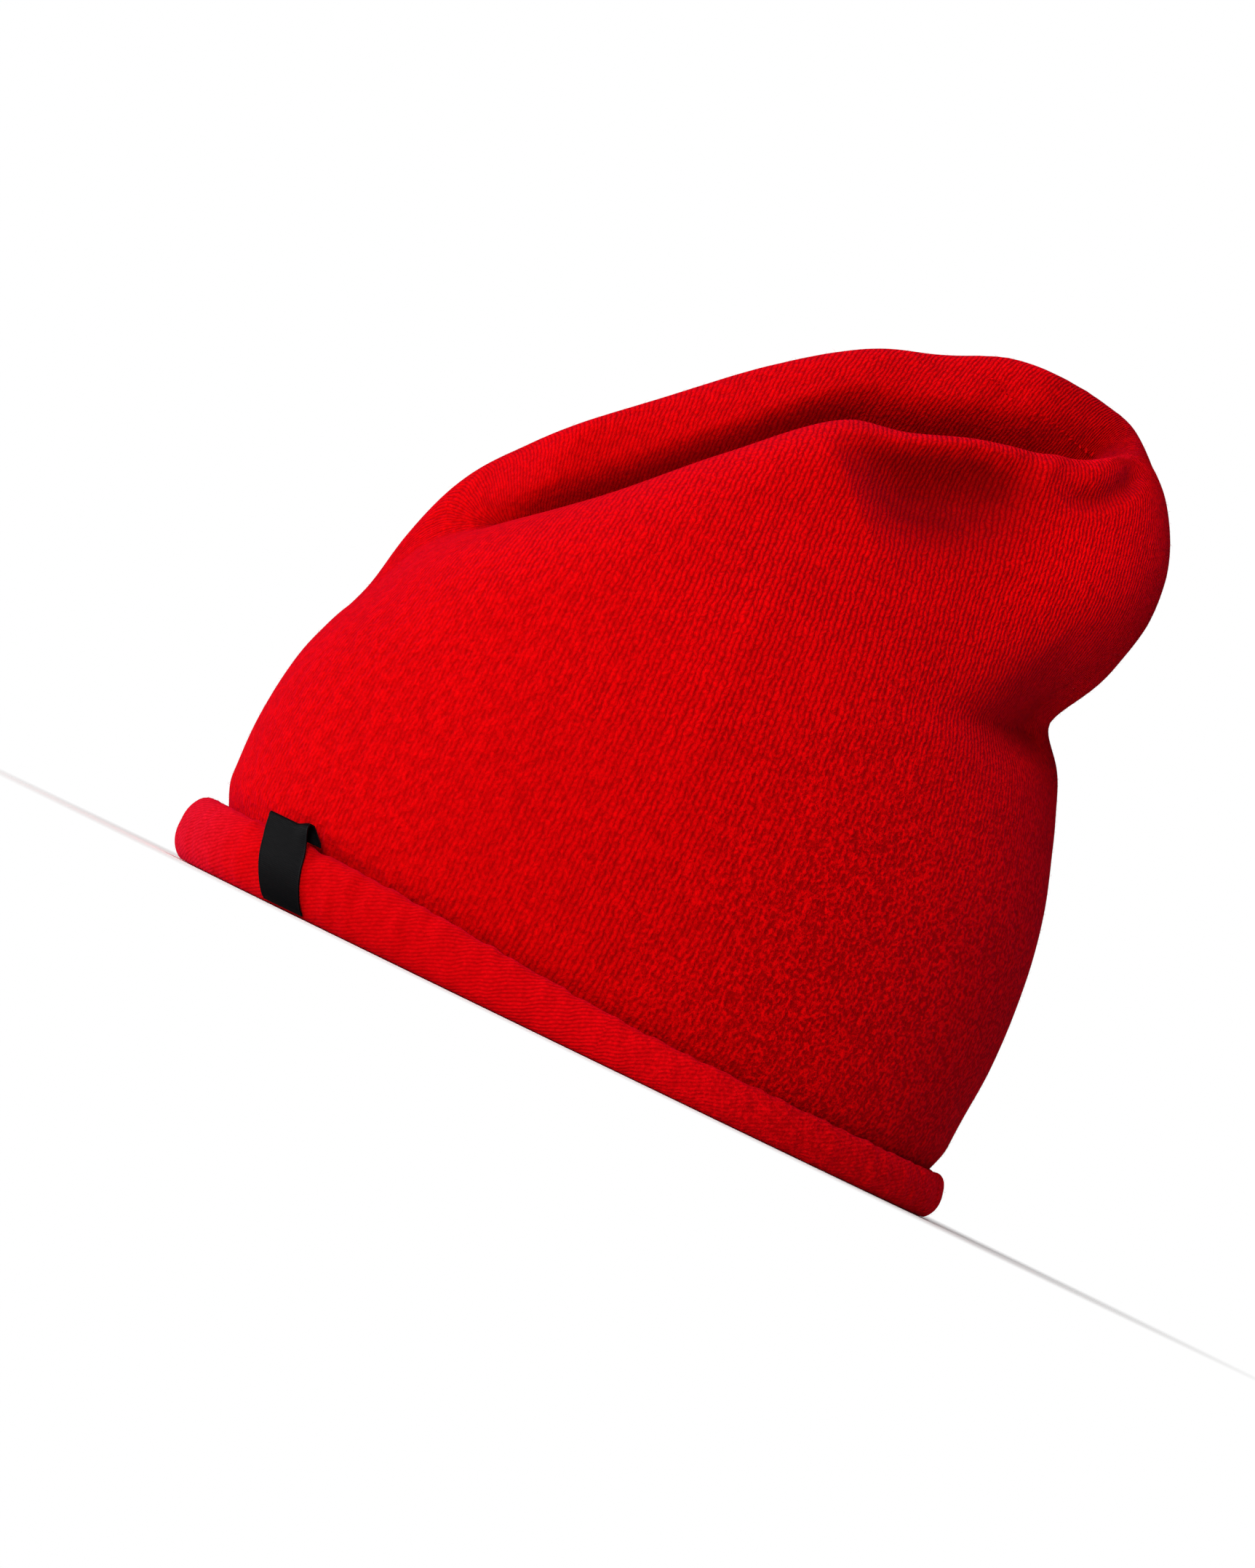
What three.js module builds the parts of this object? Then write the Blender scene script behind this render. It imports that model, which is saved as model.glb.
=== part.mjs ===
// A fine-knit slouch beanie with a rolled hem and a small folded ribbon label.
//
// Lengths are millimetres. +Z is up, the forehead is towards -Y and the wearer's left is +X.
// The origin is the middle of the rim, on the surface that the hat rests on.
//
// The cloth is the place where one function, cloth(x, y, z), is zero: it is negative in the
// hollow of the hat and positive outside. The side walls follow plan outlines that change
// with height. The lid is the slack top, with a ridge on each side and a valley between them.
import * as THREE from 'three';

// ---- driving sizes ------------------------------------------------------------------------
const WALL = 2.0; // thickness of the knit
const CENTRE_Y = 12; // the plan outlines are widest here
const CENTRE_Z = 88; // below this height the crown is cut in level rings
const ROUNDNESS = 2.15; // exponent of the plan outlines: 2 is an ellipse

// Plan outline of the crown at each height: front and back along Y, left and right along X.
const OUTLINES = [
  { height: 0, front: -103.9, back: 106.0, left: 78.5, right: 78.5 },
  { height: 18, front: -103.8, back: 106.5, left: 79.0, right: 79.0 },
  { height: 42, front: -104.3, back: 107.5, left: 79.5, right: 79.5 },
  { height: 60, front: -102.3, back: 106.6, left: 78.8, right: 79.0 },
  { height: 74, front: -98.9, back: 104.9, left: 77.6, right: 78.0 },
  { height: 86, front: -95.4, back: 102.3, left: 76.0, right: 76.6 },
  { height: 102, front: -95.4, back: 97.0, left: 72.8, right: 74.4 },
  { height: 120, front: -95.0, back: 90.8, left: 66.8, right: 71.0 },
  { height: 134, front: -93.0, back: 89.8, left: 60.4, right: 67.6 },
  { height: 150, front: -88.0, back: 91.6, left: 52.0, right: 63.0 },
  { height: 166, front: -83.0, back: 94.4, left: 46.0, right: 58.0 },
  { height: 184, front: -76.0, back: 92.0, left: 38.0, right: 51.0 },
  { height: 200, front: -68.0, back: 86.0, left: 31.0, right: 44.0 },
  { height: 220, front: -58.0, back: 78.0, left: 24.0, right: 36.0 },
];

// The slack top at each place from front to back: where the left ridge, the valley and the
// right ridge stand across the hat, and how high each one is.
const RIDGES = [
  { y: -96, leftX: 8, leftZ: 97, valleyX: 0, valleyZ: 97, rightX: -8, rightZ: 102 },
  { y: -86, leftX: 13, leftZ: 103, valleyX: 1, valleyZ: 105, rightX: -12, rightZ: 123 },
  { y: -72, leftX: 19, leftZ: 113, valleyX: 1, valleyZ: 112, rightX: -20, rightZ: 139 },
  { y: -50, leftX: 23, leftZ: 131.5, valleyX: 0, valleyZ: 123, rightX: -27, rightZ: 159.5 },
  { y: -25, leftX: 27, leftZ: 156, valleyX: -1, valleyZ: 143, rightX: -32, rightZ: 182.6 },
  { y: 0, leftX: 29, leftZ: 178, valleyX: -2, valleyZ: 157, rightX: -34, rightZ: 200.2 },
  { y: 15, leftX: 31, leftZ: 182, valleyX: -3, valleyZ: 161, rightX: -35, rightZ: 206.2 },
  { y: 32, leftX: 30, leftZ: 188.5, valleyX: -4, valleyZ: 166, rightX: -34, rightZ: 214.2 },
  { y: 50, leftX: 26, leftZ: 193, valleyX: -5, valleyZ: 177, rightX: -30, rightZ: 215.7 },
  { y: 60, leftX: 22, leftZ: 196, valleyX: -5, valleyZ: 188.5, rightX: -26, rightZ: 214.7 },
  { y: 68, leftX: 18, leftZ: 200.5, valleyX: -5, valleyZ: 202, rightX: -21, rightZ: 212.5 },
  { y: 82, leftX: 12, leftZ: 199, valleyX: -4, valleyZ: 201, rightX: -14, rightZ: 201.5 },
  { y: 98, leftX: 8, leftZ: 184, valleyX: -4, valleyZ: 185, rightX: -8, rightZ: 186 },
];

// How softly the lid rounds over into the side walls, at the forehead and over the back.
const SHOULDER = { front: 26, back: 12, from: -70, length: 80 };

// How steeply the slack top falls across the hat, at the forehead and over the back.
const LID_SLOPE = { front: 0.95, back: 0.4, from: -20, length: 40 };

// The right lobe rolls over towards the valley from a little below the left ridge: how far,
// over what height and width, and where it starts and ends from front to back.
const LEAN = { reach: 24, below: 10, height: 22, edgeX: 22, width: 44 };
const LEAN_ENDS = { front: -88, frontLength: 28, back: 76, backLength: 36 };

// The nape fold: a crease round the back, lower towards the sides, under the slack bulge.
const NAPE_FOLD = { z: 130.5, drop: 0.2, depth: 7.5, above: 12, below: 8, reach: 46, from: 30, length: 35 };

// The sunk hollow in the left panel, below the ridge, with a sharp edge at its front end.
const LEFT_HOLLOW = { y: 8, z: 164, rise: 25.5, depth: 11, edgeSlant: 0.45, edgeLength: 18, fadeX: 14 };
const HOLLOW_FADE = { from: 28, reach: 18, above: 13, below: 15, ridge: 9 };

// The small crease that curls round the back end of the valley, on the left.
const CURL = { y: 60, z: 199, radius: 13.5, width: 3.4, depth: 3.4 };
const CURL_FADE = { from: 56, length: 9, top: 206, height: 12, fadeX: 14 };

// The rolled hem: taller over the forehead than at the nape.
const ROLL = { low: 13.5, high: 19.8, slender: 0.7, press: 0.9, backY: 35, length: 112 };
const ROLL_SHRINK = { share: 0.24, start: 45, end: 140 }; // the lip winds in between these angles
// Where the roll's section has its corners: 0 is its outer side, and -90 the floor under it.
const ROLL_ANGLES = [-180, -145, -110, -70, -40, -10, 20, 45, 70, 95, 120, 150, 180];
const TUCK = 6; // the crown starts to bend in behind the roll this far above it

// The ribbon label, folded over the roll at the left of the forehead.
const LABEL = { y: -77.4, width: 15, thickness: 0.8, top: 21.8, slant: 10.5, stand: 0.6, bottom: 0.9 };
const LABEL_ANGLES = [-50, -34, -16, 4, 24]; // its corners up the face of the roll
// Its corners over the fold: how far inside the roll's outer face and how far below its top.
const LABEL_FOLD = [
  { inside: 1.4, below: 3 },
  { inside: 2.4, below: 0.5 },
  { inside: 3.4, below: 0.5 },
  { inside: 4.0, below: 2.6 },
];

// How the cloth is found: along lines from the middle of the hat, between these distances.
const NEAREST = 5;
const FARTHEST = 190;
const HALVINGS = 30;
const NEARBY = 0.25; // half the distance between the places that a direction is read from
const SPREAD = { x: 79, y: 106 }; // the lines lie closer together at the hat's narrower ends
// The crown's lines start along a front-to-back line in the hat, and close farther back.
const SPINE = { x: -2, y: -17, reach: 55, drift: 22, top: 88 };

// Mesh fineness.
const COLUMNS = 72;
const CROWN_ROWS = 27;
const TRACE_STEPS = 220;
const TURN_WEIGHT = 9; // rows crowd together where the cloth turns: millimetres a radian
const LABEL_STEPS = 6;

const RED = { color: 0xc40408, roughness: 0.95, metalness: 0 };
const ROLL_RED = { color: 0xb80508, roughness: 0.95, metalness: 0 };
const BLACK = { color: 0x111113, roughness: 0.55, metalness: 0 };

// ---- small helpers ------------------------------------------------------------------------
function ease(t) {
  const s = THREE.MathUtils.clamp(t, 0, 1);
  return s * s * (3 - 2 * s);
}

function bell(t) {
  return Math.exp(-t * t);
}

// A smooth reading of one column of a table between its rows.
function read(table, key, column, at) {
  const last = table.length - 1;
  const place = THREE.MathUtils.clamp(at, table[0][key], table[last][key]);
  let row = 0;
  while (row < last - 1 && place > table[row + 1][key]) row += 1;
  const slope = (i) => (table[i + 1][column] - table[i][column]) / (table[i + 1][key] - table[i][key]);
  const tangent = (i) => {
    if (i === 0) return slope(0);
    if (i === last) return slope(last - 1);
    const before = table[i][key] - table[i - 1][key];
    const after = table[i + 1][key] - table[i][key];
    return (slope(i - 1) * after + slope(i) * before) / (before + after);
  };
  const step = table[row + 1][key] - table[row][key];
  const t = (place - table[row][key]) / step;
  const start = (1 + 2 * t) * (1 - t) ** 2 * table[row][column];
  const leave = t * (1 - t) ** 2 * step * tangent(row);
  const end = t * t * (3 - 2 * t) * table[row + 1][column];
  const arrive = t * t * (t - 1) * step * tangent(row + 1);
  return start + leave + end + arrive;
}

// The larger of two values, rounded over where they are close.
function roundedMax(a, b, softness) {
  const share = THREE.MathUtils.clamp(0.5 + (0.5 * (a - b)) / softness, 0, 1);
  return b + (a - b) * share + softness * share * (1 - share);
}

// ---- the cloth ----------------------------------------------------------------------------
function rollHeight(y) {
  return ROLL.low + (ROLL.high - ROLL.low) * ease((ROLL.backY - y) / ROLL.length);
}

// Distance outside the plan outline at this height.
function sideWall(x, y, z) {
  const radius = Math.hypot(x, y - CENTRE_Y);
  const halfX = read(OUTLINES, 'height', x > 0 ? 'left' : 'right', z);
  const halfY = Math.abs(read(OUTLINES, 'height', y > CENTRE_Y ? 'back' : 'front', z) - CENTRE_Y);
  const reach = (Math.abs(x) / halfX) ** ROUNDNESS + (Math.abs(y - CENTRE_Y) / halfY) ** ROUNDNESS;
  if (radius < 0.01) return -halfX;
  return radius - radius / reach ** (1 / ROUNDNESS);
}

// Distance above the slack top.
function lid(x, y, z) {
  const valleyX = read(RIDGES, 'y', 'valleyX', y);
  const valleyZ = read(RIDGES, 'y', 'valleyZ', y);
  const side = x > valleyX ? 'left' : 'right';
  const ridgeX = read(RIDGES, 'y', side + 'X', y);
  const ridgeZ = read(RIDGES, 'y', side + 'Z', y);
  const top = valleyZ + (ridgeZ - valleyZ) * ease((x - valleyX) / (ridgeX - valleyX));
  const backward = ease((y - LID_SLOPE.from) / LID_SLOPE.length);
  const slope = LID_SLOPE.front + (LID_SLOPE.back - LID_SLOPE.front) * backward;
  return (z - top) / Math.hypot(1, slope);
}

function napeFold(x, y, z) {
  const lift = z - (NAPE_FOLD.z - NAPE_FOLD.drop * Math.abs(x));
  const width = lift > 0 ? NAPE_FOLD.above : NAPE_FOLD.below;
  const round = bell(x / NAPE_FOLD.reach) * ease((y - NAPE_FOLD.from) / NAPE_FOLD.length);
  return NAPE_FOLD.depth * bell(lift / width) * round;
}

function leftHollow(x, y, z) {
  const turn = THREE.MathUtils.degToRad(LEFT_HOLLOW.rise);
  const along = (y - LEFT_HOLLOW.y) * Math.cos(turn) + (z - LEFT_HOLLOW.z) * Math.sin(turn);
  const across = (z - LEFT_HOLLOW.z) * Math.cos(turn) - (y - LEFT_HOLLOW.y) * Math.sin(turn);
  const inside = along + LEFT_HOLLOW.edgeSlant * across;
  const start = THREE.MathUtils.clamp(inside / LEFT_HOLLOW.edgeLength, 0, 1);
  const width = across > 0 ? HOLLOW_FADE.above : HOLLOW_FADE.below;
  const fade = bell(Math.max(along - HOLLOW_FADE.from, 0) / HOLLOW_FADE.reach) * bell(across / width);
  const belowRidge = ease((read(RIDGES, 'y', 'leftZ', y) - z) / HOLLOW_FADE.ridge);
  return LEFT_HOLLOW.depth * start * (2 - start) * fade * belowRidge * ease(x / LEFT_HOLLOW.fadeX);
}

function curlCrease(x, y, z) {
  const off = (Math.hypot(y - CURL.y, z - CURL.z) - CURL.radius) / CURL.width;
  const fade = ease((y - CURL_FADE.from) / CURL_FADE.length) * ease((CURL_FADE.top - z) / CURL_FADE.height);
  return CURL.depth * bell(off) * fade * ease(x / CURL_FADE.fadeX);
}

// Behind the roll the crown bends in, so that the roll winds round its lower edge.
function tuck(y, z) {
  const height = rollHeight(y);
  const depth = (ROLL.slender * height) / 2 - WALL;
  return depth * ease((height + TUCK - z) / (height / 2 + TUCK));
}

function cloth(x, y, z) {
  const forward = ease((y - SHOULDER.from) / SHOULDER.length);
  const softness = SHOULDER.front + (SHOULDER.back - SHOULDER.front) * forward;
  const shell = roundedMax(sideWall(x, y, z) + leftHollow(x, y, z), lid(x, y, z), softness);
  return shell + tuck(y, z) + napeFold(x, y, z) + curlCrease(x, y, z);
}

// The outward direction of the cloth.
function outward(p) {
  return new THREE.Vector3(
    cloth(p.x + NEARBY, p.y, p.z) - cloth(p.x - NEARBY, p.y, p.z),
    cloth(p.x, p.y + NEARBY, p.z) - cloth(p.x, p.y - NEARBY, p.z),
    cloth(p.x, p.y, p.z + NEARBY) - cloth(p.x, p.y, p.z - NEARBY),
  ).normalize();
}

// Moves a point of the cloth with the right lobe as it rolls over.
function leanOver(p) {
  const rise = ease((p.z - read(RIDGES, 'y', 'leftZ', p.y) + LEAN.below) / LEAN.height);
  const sideways = ease((LEAN.edgeX - p.x) / LEAN.width);
  const forward = ease((p.y - LEAN_ENDS.front) / LEAN_ENDS.frontLength);
  const backward = ease((LEAN_ENDS.back - p.y) / LEAN_ENDS.backLength);
  return p.clone().add(new THREE.Vector3(LEAN.reach * rise * sideways * forward * backward, 0, 0));
}

// Where a line from the middle of the hat meets the cloth.
function meet(from, direction) {
  let inside = NEAREST;
  let outside = FARTHEST;
  const p = new THREE.Vector3();
  for (let i = 0; i < HALVINGS; i += 1) {
    const middle = (inside + outside) / 2;
    p.copy(from).addScaledVector(direction, middle);
    if (cloth(p.x, p.y, p.z) < 0) inside = middle;
    else outside = middle;
  }
  return p;
}

// Column i points this way from the middle of the hat.
function heading(i) {
  const turn = (2 * Math.PI * i) / COLUMNS;
  return new THREE.Vector3(SPREAD.x * Math.cos(turn), SPREAD.y * Math.sin(turn), 0).normalize();
}

// ---- crown --------------------------------------------------------------------------------
// One line of cloth from the lower edge to the bottom of the valley, with its points spaced
// by length and by how sharply the cloth turns.
function wale(column) {
  const around = (2 * Math.PI * column) / COLUMNS;
  const start = new THREE.Vector3(SPINE.x, SPINE.y + SPINE.reach * Math.sin(around), ROLL.low / 2);
  const way = new THREE.Vector3(SPREAD.x * Math.cos(around), SPREAD.y * Math.sin(around), start.z);
  way.sub(start).normalize();
  const edge = meet(start, way);
  const bottom = rollHeight(edge.y) / 2;
  const trace = [];
  const drift = (SPINE.drift * (1 + Math.sin(around))) / 2;
  for (let i = 0; i < TRACE_STEPS; i += 1) {
    const t = (2 * i) / (TRACE_STEPS - 1);
    const height = bottom + (CENTRE_Z - bottom) * Math.min(t, 1);
    const rise = THREE.MathUtils.degToRad(SPINE.top) * Math.max(t - 1, 0);
    const direction = way.clone().multiplyScalar(Math.cos(rise));
    direction.z = Math.sin(rise);
    const back = drift * Math.max(t - 1, 0) ** 3;
    trace.push(meet(new THREE.Vector3(start.x, start.y + back, height), direction));
  }
  const weight = [0];
  for (let i = 1; i < trace.length; i += 1) {
    const step = trace[i].clone().sub(trace[i - 1]);
    const next = trace[Math.min(i + 1, trace.length - 1)].clone().sub(trace[i]);
    const turn = next.length() > 0 ? step.angleTo(next) : 0;
    weight.push(weight[i - 1] + step.length() + TURN_WEIGHT * turn);
  }
  const points = [];
  let i = 1;
  for (let row = 0; row < CROWN_ROWS; row += 1) {
    const target = (weight[weight.length - 1] * row) / (CROWN_ROWS - 1);
    while (i < trace.length - 1 && weight[i] < target) i += 1;
    const share = (target - weight[i - 1]) / (weight[i] - weight[i - 1]);
    points.push(trace[i - 1].clone().lerp(trace[i], share));
  }
  return points;
}

// Triangles between closed rings of points. Each ring has COLUMNS points.
function band(index, lower, upper) {
  for (let i = 0; i < COLUMNS; i += 1) {
    const j = (i + 1) % COLUMNS;
    index.push(lower + i, lower + j, upper + j, lower + i, upper + j, upper + i);
  }
}

function solid(points, index) {
  const geometry = new THREE.BufferGeometry();
  geometry.setAttribute('position', new THREE.Float32BufferAttribute(points.flatMap((p) => p.toArray()), 3));
  geometry.setIndex(index);
  geometry.computeVertexNormals();
  return geometry;
}

// The strip that closes the valley, between the two halves of the last ring of points.
function closing(index, top, flip) {
  const half = COLUMNS / 2;
  const quarter = COLUMNS / 4;
  for (let i = -quarter; i < quarter; i += 1) {
    const [a, b, c, d] = [i, i + 1, half - i - 1, half - i].map((k) => top + ((k + COLUMNS) % COLUMNS));
    const triangles = [[a, b, c], [a, c, d]].filter((t) => new Set(t).size === 3);
    for (const t of triangles) index.push(...(flip ? t.reverse() : t));
  }
}

function crownGeometry() {
  const wales = Array.from({ length: COLUMNS }, (_, i) => wale(i));
  const outer = [];
  for (let row = 0; row < CROWN_ROWS; row += 1) outer.push(...wales.map((points) => points[row]));
  const inner = outer.map((p) => p.clone().addScaledVector(outward(p), -WALL));
  const points = [...outer, ...inner].map(leanOver);
  const index = [];
  const inside = outer.length;
  for (let row = 0; row < CROWN_ROWS - 1; row += 1) {
    band(index, row * COLUMNS, (row + 1) * COLUMNS);
    band(index, inside + (row + 1) * COLUMNS, inside + row * COLUMNS);
  }
  const top = (CROWN_ROWS - 1) * COLUMNS;
  closing(index, top, false);
  closing(index, inside + top, true);
  band(index, inside, 0);
  return solid(points, index);
}

// ---- rolled hem ---------------------------------------------------------------------------
// The middle line of the rolled cloth in the plane across the rim: n is outward, z is up.
function rollLine(angle, width, height) {
  const wound = ease((angle - ROLL_SHRINK.start) / (ROLL_SHRINK.end - ROLL_SHRINK.start));
  const shrink = ROLL_SHRINK.share * height * wound;
  const turn = THREE.MathUtils.degToRad(angle);
  const n = (width / 2 - WALL / 2 - shrink) * Math.cos(turn);
  const z = height / 2 + (height / 2 - WALL / 2 - shrink) * Math.sin(turn);
  return new THREE.Vector2(n, z - ROLL.press);
}

// The closed outline of the rolled cloth: down its outer face and back along its inner face.
function rollSection(height) {
  const width = ROLL.slender * height;
  const outerFace = [];
  const innerFace = [];
  for (const angle of ROLL_ANGLES) {
    const here = rollLine(angle, width, height);
    const along = rollLine(angle + 1, width, height).sub(rollLine(angle - 1, width, height)).normalize();
    const out = new THREE.Vector2(along.y, -along.x).multiplyScalar(WALL / 2);
    const outside = here.clone().add(out);
    outside.y = Math.max(outside.y, 0);
    outerFace.push(outside);
    innerFace.unshift(here.clone().sub(out));
  }
  return [...outerFace, ...innerFace];
}

// The outward direction of the rim's plan outline.
function rimNormal(p) {
  const alongX = sideWall(p.x + NEARBY, p.y, 0) - sideWall(p.x - NEARBY, p.y, 0);
  const alongY = sideWall(p.x, p.y + NEARBY, 0) - sideWall(p.x, p.y - NEARBY, 0);
  return new THREE.Vector3(alongX, alongY, 0).normalize();
}

// The place on the rim in this direction from the middle of the hat.
function rimTowards(way) {
  const inset = -sideWall(way.x * NEAREST, CENTRE_Y + way.y * NEAREST, 0);
  const point = new THREE.Vector3(0, CENTRE_Y, 0).addScaledVector(way, NEAREST + inset);
  return { point, direction: rimNormal(point) };
}

function hemGeometry() {
  const points = [];
  const sections = 2 * ROLL_ANGLES.length;
  const places = Array.from({ length: COLUMNS }, (_, i) => rimTowards(heading(i)));
  for (let k = 0; k < sections; k += 1) {
    for (const { point, direction } of places) {
      const corner = rollSection(rollHeight(point.y))[k];
      const p = point.clone().addScaledVector(direction, corner.x);
      p.z = corner.y;
      points.push(p);
    }
  }
  const index = [];
  for (let k = 0; k < sections; k += 1) band(index, k * COLUMNS, ((k + 1) % sections) * COLUMNS);
  return solid(points, index);
}

// ---- label --------------------------------------------------------------------------------
// The place on the left of the rim at this distance from front to back.
function rimAt(y) {
  const halfY = Math.abs(OUTLINES[0].front - CENTRE_Y);
  const share = Math.abs(y - CENTRE_Y) / halfY;
  const x = OUTLINES[0].left * (1 - share ** ROUNDNESS) ** (1 / ROUNDNESS);
  const point = new THREE.Vector3(x, y, 0);
  return { point, direction: rimNormal(point) };
}

// The ribbon's middle line across the rim: up the face of the roll, over a sharp fold above
// it, and down again between the roll and the crown.
function ribbonLine(height) {
  const width = ROLL.slender * height;
  const line = [];
  const stand = LABEL.stand + LABEL.thickness / 2;
  for (const angle of LABEL_ANGLES) {
    const turn = THREE.MathUtils.degToRad(angle);
    const n = (width / 2 + stand) * Math.cos(turn);
    const z = height / 2 - ROLL.press + (height / 2 + stand) * Math.sin(turn);
    line.push(new THREE.Vector2(n, Math.max(z, LABEL.bottom)));
  }
  for (const corner of LABEL_FOLD) {
    line.push(new THREE.Vector2(width / 2 - corner.inside, LABEL.top - corner.below));
  }
  return line;
}

function labelGeometry() {
  const points = [];
  const stations = LABEL_STEPS + 1;
  const middle = rimAt(LABEL.y);
  let count = 0;
  for (let s = 0; s < stations; s += 1) {
    const place = rimAt(LABEL.y + LABEL.width * middle.direction.x * (s / LABEL_STEPS - 0.5));
    const line = ribbonLine(rollHeight(place.point.y));
    const left = [];
    const right = [];
    line.forEach((here, k) => {
      const before = line[Math.max(k - 1, 0)];
      const after = line[Math.min(k + 1, line.length - 1)];
      const along = after.clone().sub(before).normalize();
      const out = new THREE.Vector2(along.y, -along.x).multiplyScalar(LABEL.thickness / 2);
      left.push(here.clone().add(out));
      right.unshift(here.clone().sub(out));
    });
    const outline = [...left, ...right];
    count = outline.length;
    const tangent = new THREE.Vector3(-place.direction.y, place.direction.x, 0);
    for (const corner of outline) {
      const p = place.point.clone().addScaledVector(place.direction, corner.x);
      p.addScaledVector(tangent, LABEL.slant * (0.5 - corner.y / LABEL.top));
      p.z = corner.y;
      points.push(p);
    }
  }
  const index = [];
  for (let s = 0; s < LABEL_STEPS; s += 1) {
    for (let k = 0; k < count; k += 1) {
      const next = (k + 1) % count;
      const a = s * count + k;
      const b = s * count + next;
      index.push(a, a + count, b + count, a, b + count, b);
    }
  }
  const half = count / 2;
  const far = LABEL_STEPS * count;
  for (let k = 0; k < half - 1; k += 1) {
    const m = count - 1 - k;
    index.push(k, k + 1, m - 1, k, m - 1, m);
    index.push(far + k, far + m - 1, far + k + 1, far + k, far + m, far + m - 1);
  }
  return solid(points, index);
}

// ---- the hat ------------------------------------------------------------------------------
function piece(name, geometry, finish) {
  const mesh = new THREE.Mesh(geometry, new THREE.MeshStandardMaterial(finish));
  mesh.name = name;
  return mesh;
}

const beanie = new THREE.Group();
beanie.add(piece('crown', crownGeometry(), RED));
beanie.add(piece('rolled_hem', hemGeometry(), ROLL_RED));
beanie.add(piece('label', labelGeometry(), BLACK));

export default beanie;
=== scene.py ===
"""Fine-knit slouch beanie: the knitted crown, its rolled hem, the gathered top seam, the wool's
stray fibres and the folded ribbon label, on a plain pale floor.

Lengths in the tables are millimetres and every mesh is in metres. +Z is up, the forehead is
towards -Y and the wearer's left is +X.
"""
import math

import bpy
import numpy as np
from bpy.props import FloatProperty, FloatVectorProperty, IntProperty, PointerProperty
from bpy.types import Operator, Panel, PropertyGroup
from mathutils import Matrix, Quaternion, Vector


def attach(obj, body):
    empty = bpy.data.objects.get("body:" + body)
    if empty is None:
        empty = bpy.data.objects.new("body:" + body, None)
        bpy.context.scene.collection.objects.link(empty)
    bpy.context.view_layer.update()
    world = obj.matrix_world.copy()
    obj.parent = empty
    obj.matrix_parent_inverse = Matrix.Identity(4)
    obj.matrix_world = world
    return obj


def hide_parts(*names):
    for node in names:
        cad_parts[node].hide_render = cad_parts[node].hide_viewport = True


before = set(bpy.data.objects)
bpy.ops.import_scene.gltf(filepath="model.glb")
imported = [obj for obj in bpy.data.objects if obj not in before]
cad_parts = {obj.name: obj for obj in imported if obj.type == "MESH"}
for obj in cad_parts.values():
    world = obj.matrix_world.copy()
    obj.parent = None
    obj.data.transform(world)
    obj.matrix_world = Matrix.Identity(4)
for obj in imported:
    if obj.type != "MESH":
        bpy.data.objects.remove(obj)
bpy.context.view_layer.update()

bl_info = {
    "name": "Knitted Beanie",
    "version": (1, 0, 0),
    "blender": (4, 5, 0),
    "location": "View3D > Sidebar > Beanie",
    "description": "Builds a fine-knit slouch beanie with a rolled hem and a ribbon label",
    "category": "Add Mesh",
}

MM = 0.001

# ---- the hat's own numbers, in millimetres and degrees ----
CENTRE_Y = 12.0  # the plan outlines are widest here
CENTRE_Z = 88.0  # below this height the crown is cut in level rings
ROUNDNESS = 2.15  # exponent of the plan outlines: 2 is an ellipse
HALF_WIDTH, HALF_LENGTH = 79, 106  # of the rim, for the directions of the columns
TINY = 0.01  # keeps the middle line from dividing by nothing
SPINE_X, SPINE_Y, SPINE_REACH = -2.0, -17.0, 55.0  # the line that the cloth is found from
SPINE_DRIFT = 22.0  # how much farther back the cloth closes than it starts
STEEPEST = 89.2  # rise of the last direction in which the cloth is found

# Plan outline of the crown: height, front and back along Y, left and right along X.
OUTLINES = np.array([
    (0, -103.9, 106.0, 78.5, 78.5),
    (18, -103.8, 106.5, 79.0, 79.0),
    (42, -104.3, 107.5, 79.5, 79.5),
    (60, -102.3, 106.6, 78.8, 79.0),
    (74, -98.9, 104.9, 77.6, 78.0),
    (86, -95.4, 102.3, 76.0, 76.6),
    (102, -95.4, 97.0, 72.8, 74.4),
    (120, -95.0, 90.8, 66.8, 71.0),
    (134, -93.0, 89.8, 60.4, 67.6),
    (150, -88.0, 91.6, 52.0, 63.0),
    (166, -83.0, 94.4, 46.0, 58.0),
    (184, -76.0, 92.0, 38.0, 51.0),
    (200, -68.0, 86.0, 31.0, 44.0),
    (220, -58.0, 78.0, 24.0, 36.0),
])
FRONT, BACK, LEFT, RIGHT = 1, 2, 3, 4

# The slack top from front to back: y, then x and z of the left ridge, valley and right ridge.
RIDGES = np.array([
    (-96, 8, 97, 0, 97, -8, 102),
    (-86, 13, 103, 1, 105, -12, 123),
    (-72, 19, 113, 1, 112, -20, 139),
    (-50, 23, 131.5, 0, 123, -27, 159.5),
    (-25, 27, 156, -1, 143, -32, 182.6),
    (0, 29, 178, -2, 157, -34, 200.2),
    (15, 31, 182, -3, 161, -35, 206.2),
    (32, 30, 188.5, -4, 166, -34, 214.2),
    (50, 26, 193, -5, 177, -30, 215.7),
    (60, 22, 196, -5, 188.5, -26, 214.7),
    (68, 18, 200.5, -5, 202, -21, 212.5),
    (82, 12, 199, -4, 201, -14, 201.5),
    (98, 8, 184, -4, 185, -8, 186),
])
LEFT_X, LEFT_Z, VALLEY_X, VALLEY_Z, RIGHT_X, RIGHT_Z = 1, 2, 3, 4, 5, 6

# The gathered seam on the right wall of the valley: y, and its height.
SEAM = np.array([
    (26, 206.0), (33, 204.0), (40, 200.5), (45, 201.5), (50, 201.0), (56, 199.6), (63, 199.0),
])

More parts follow.
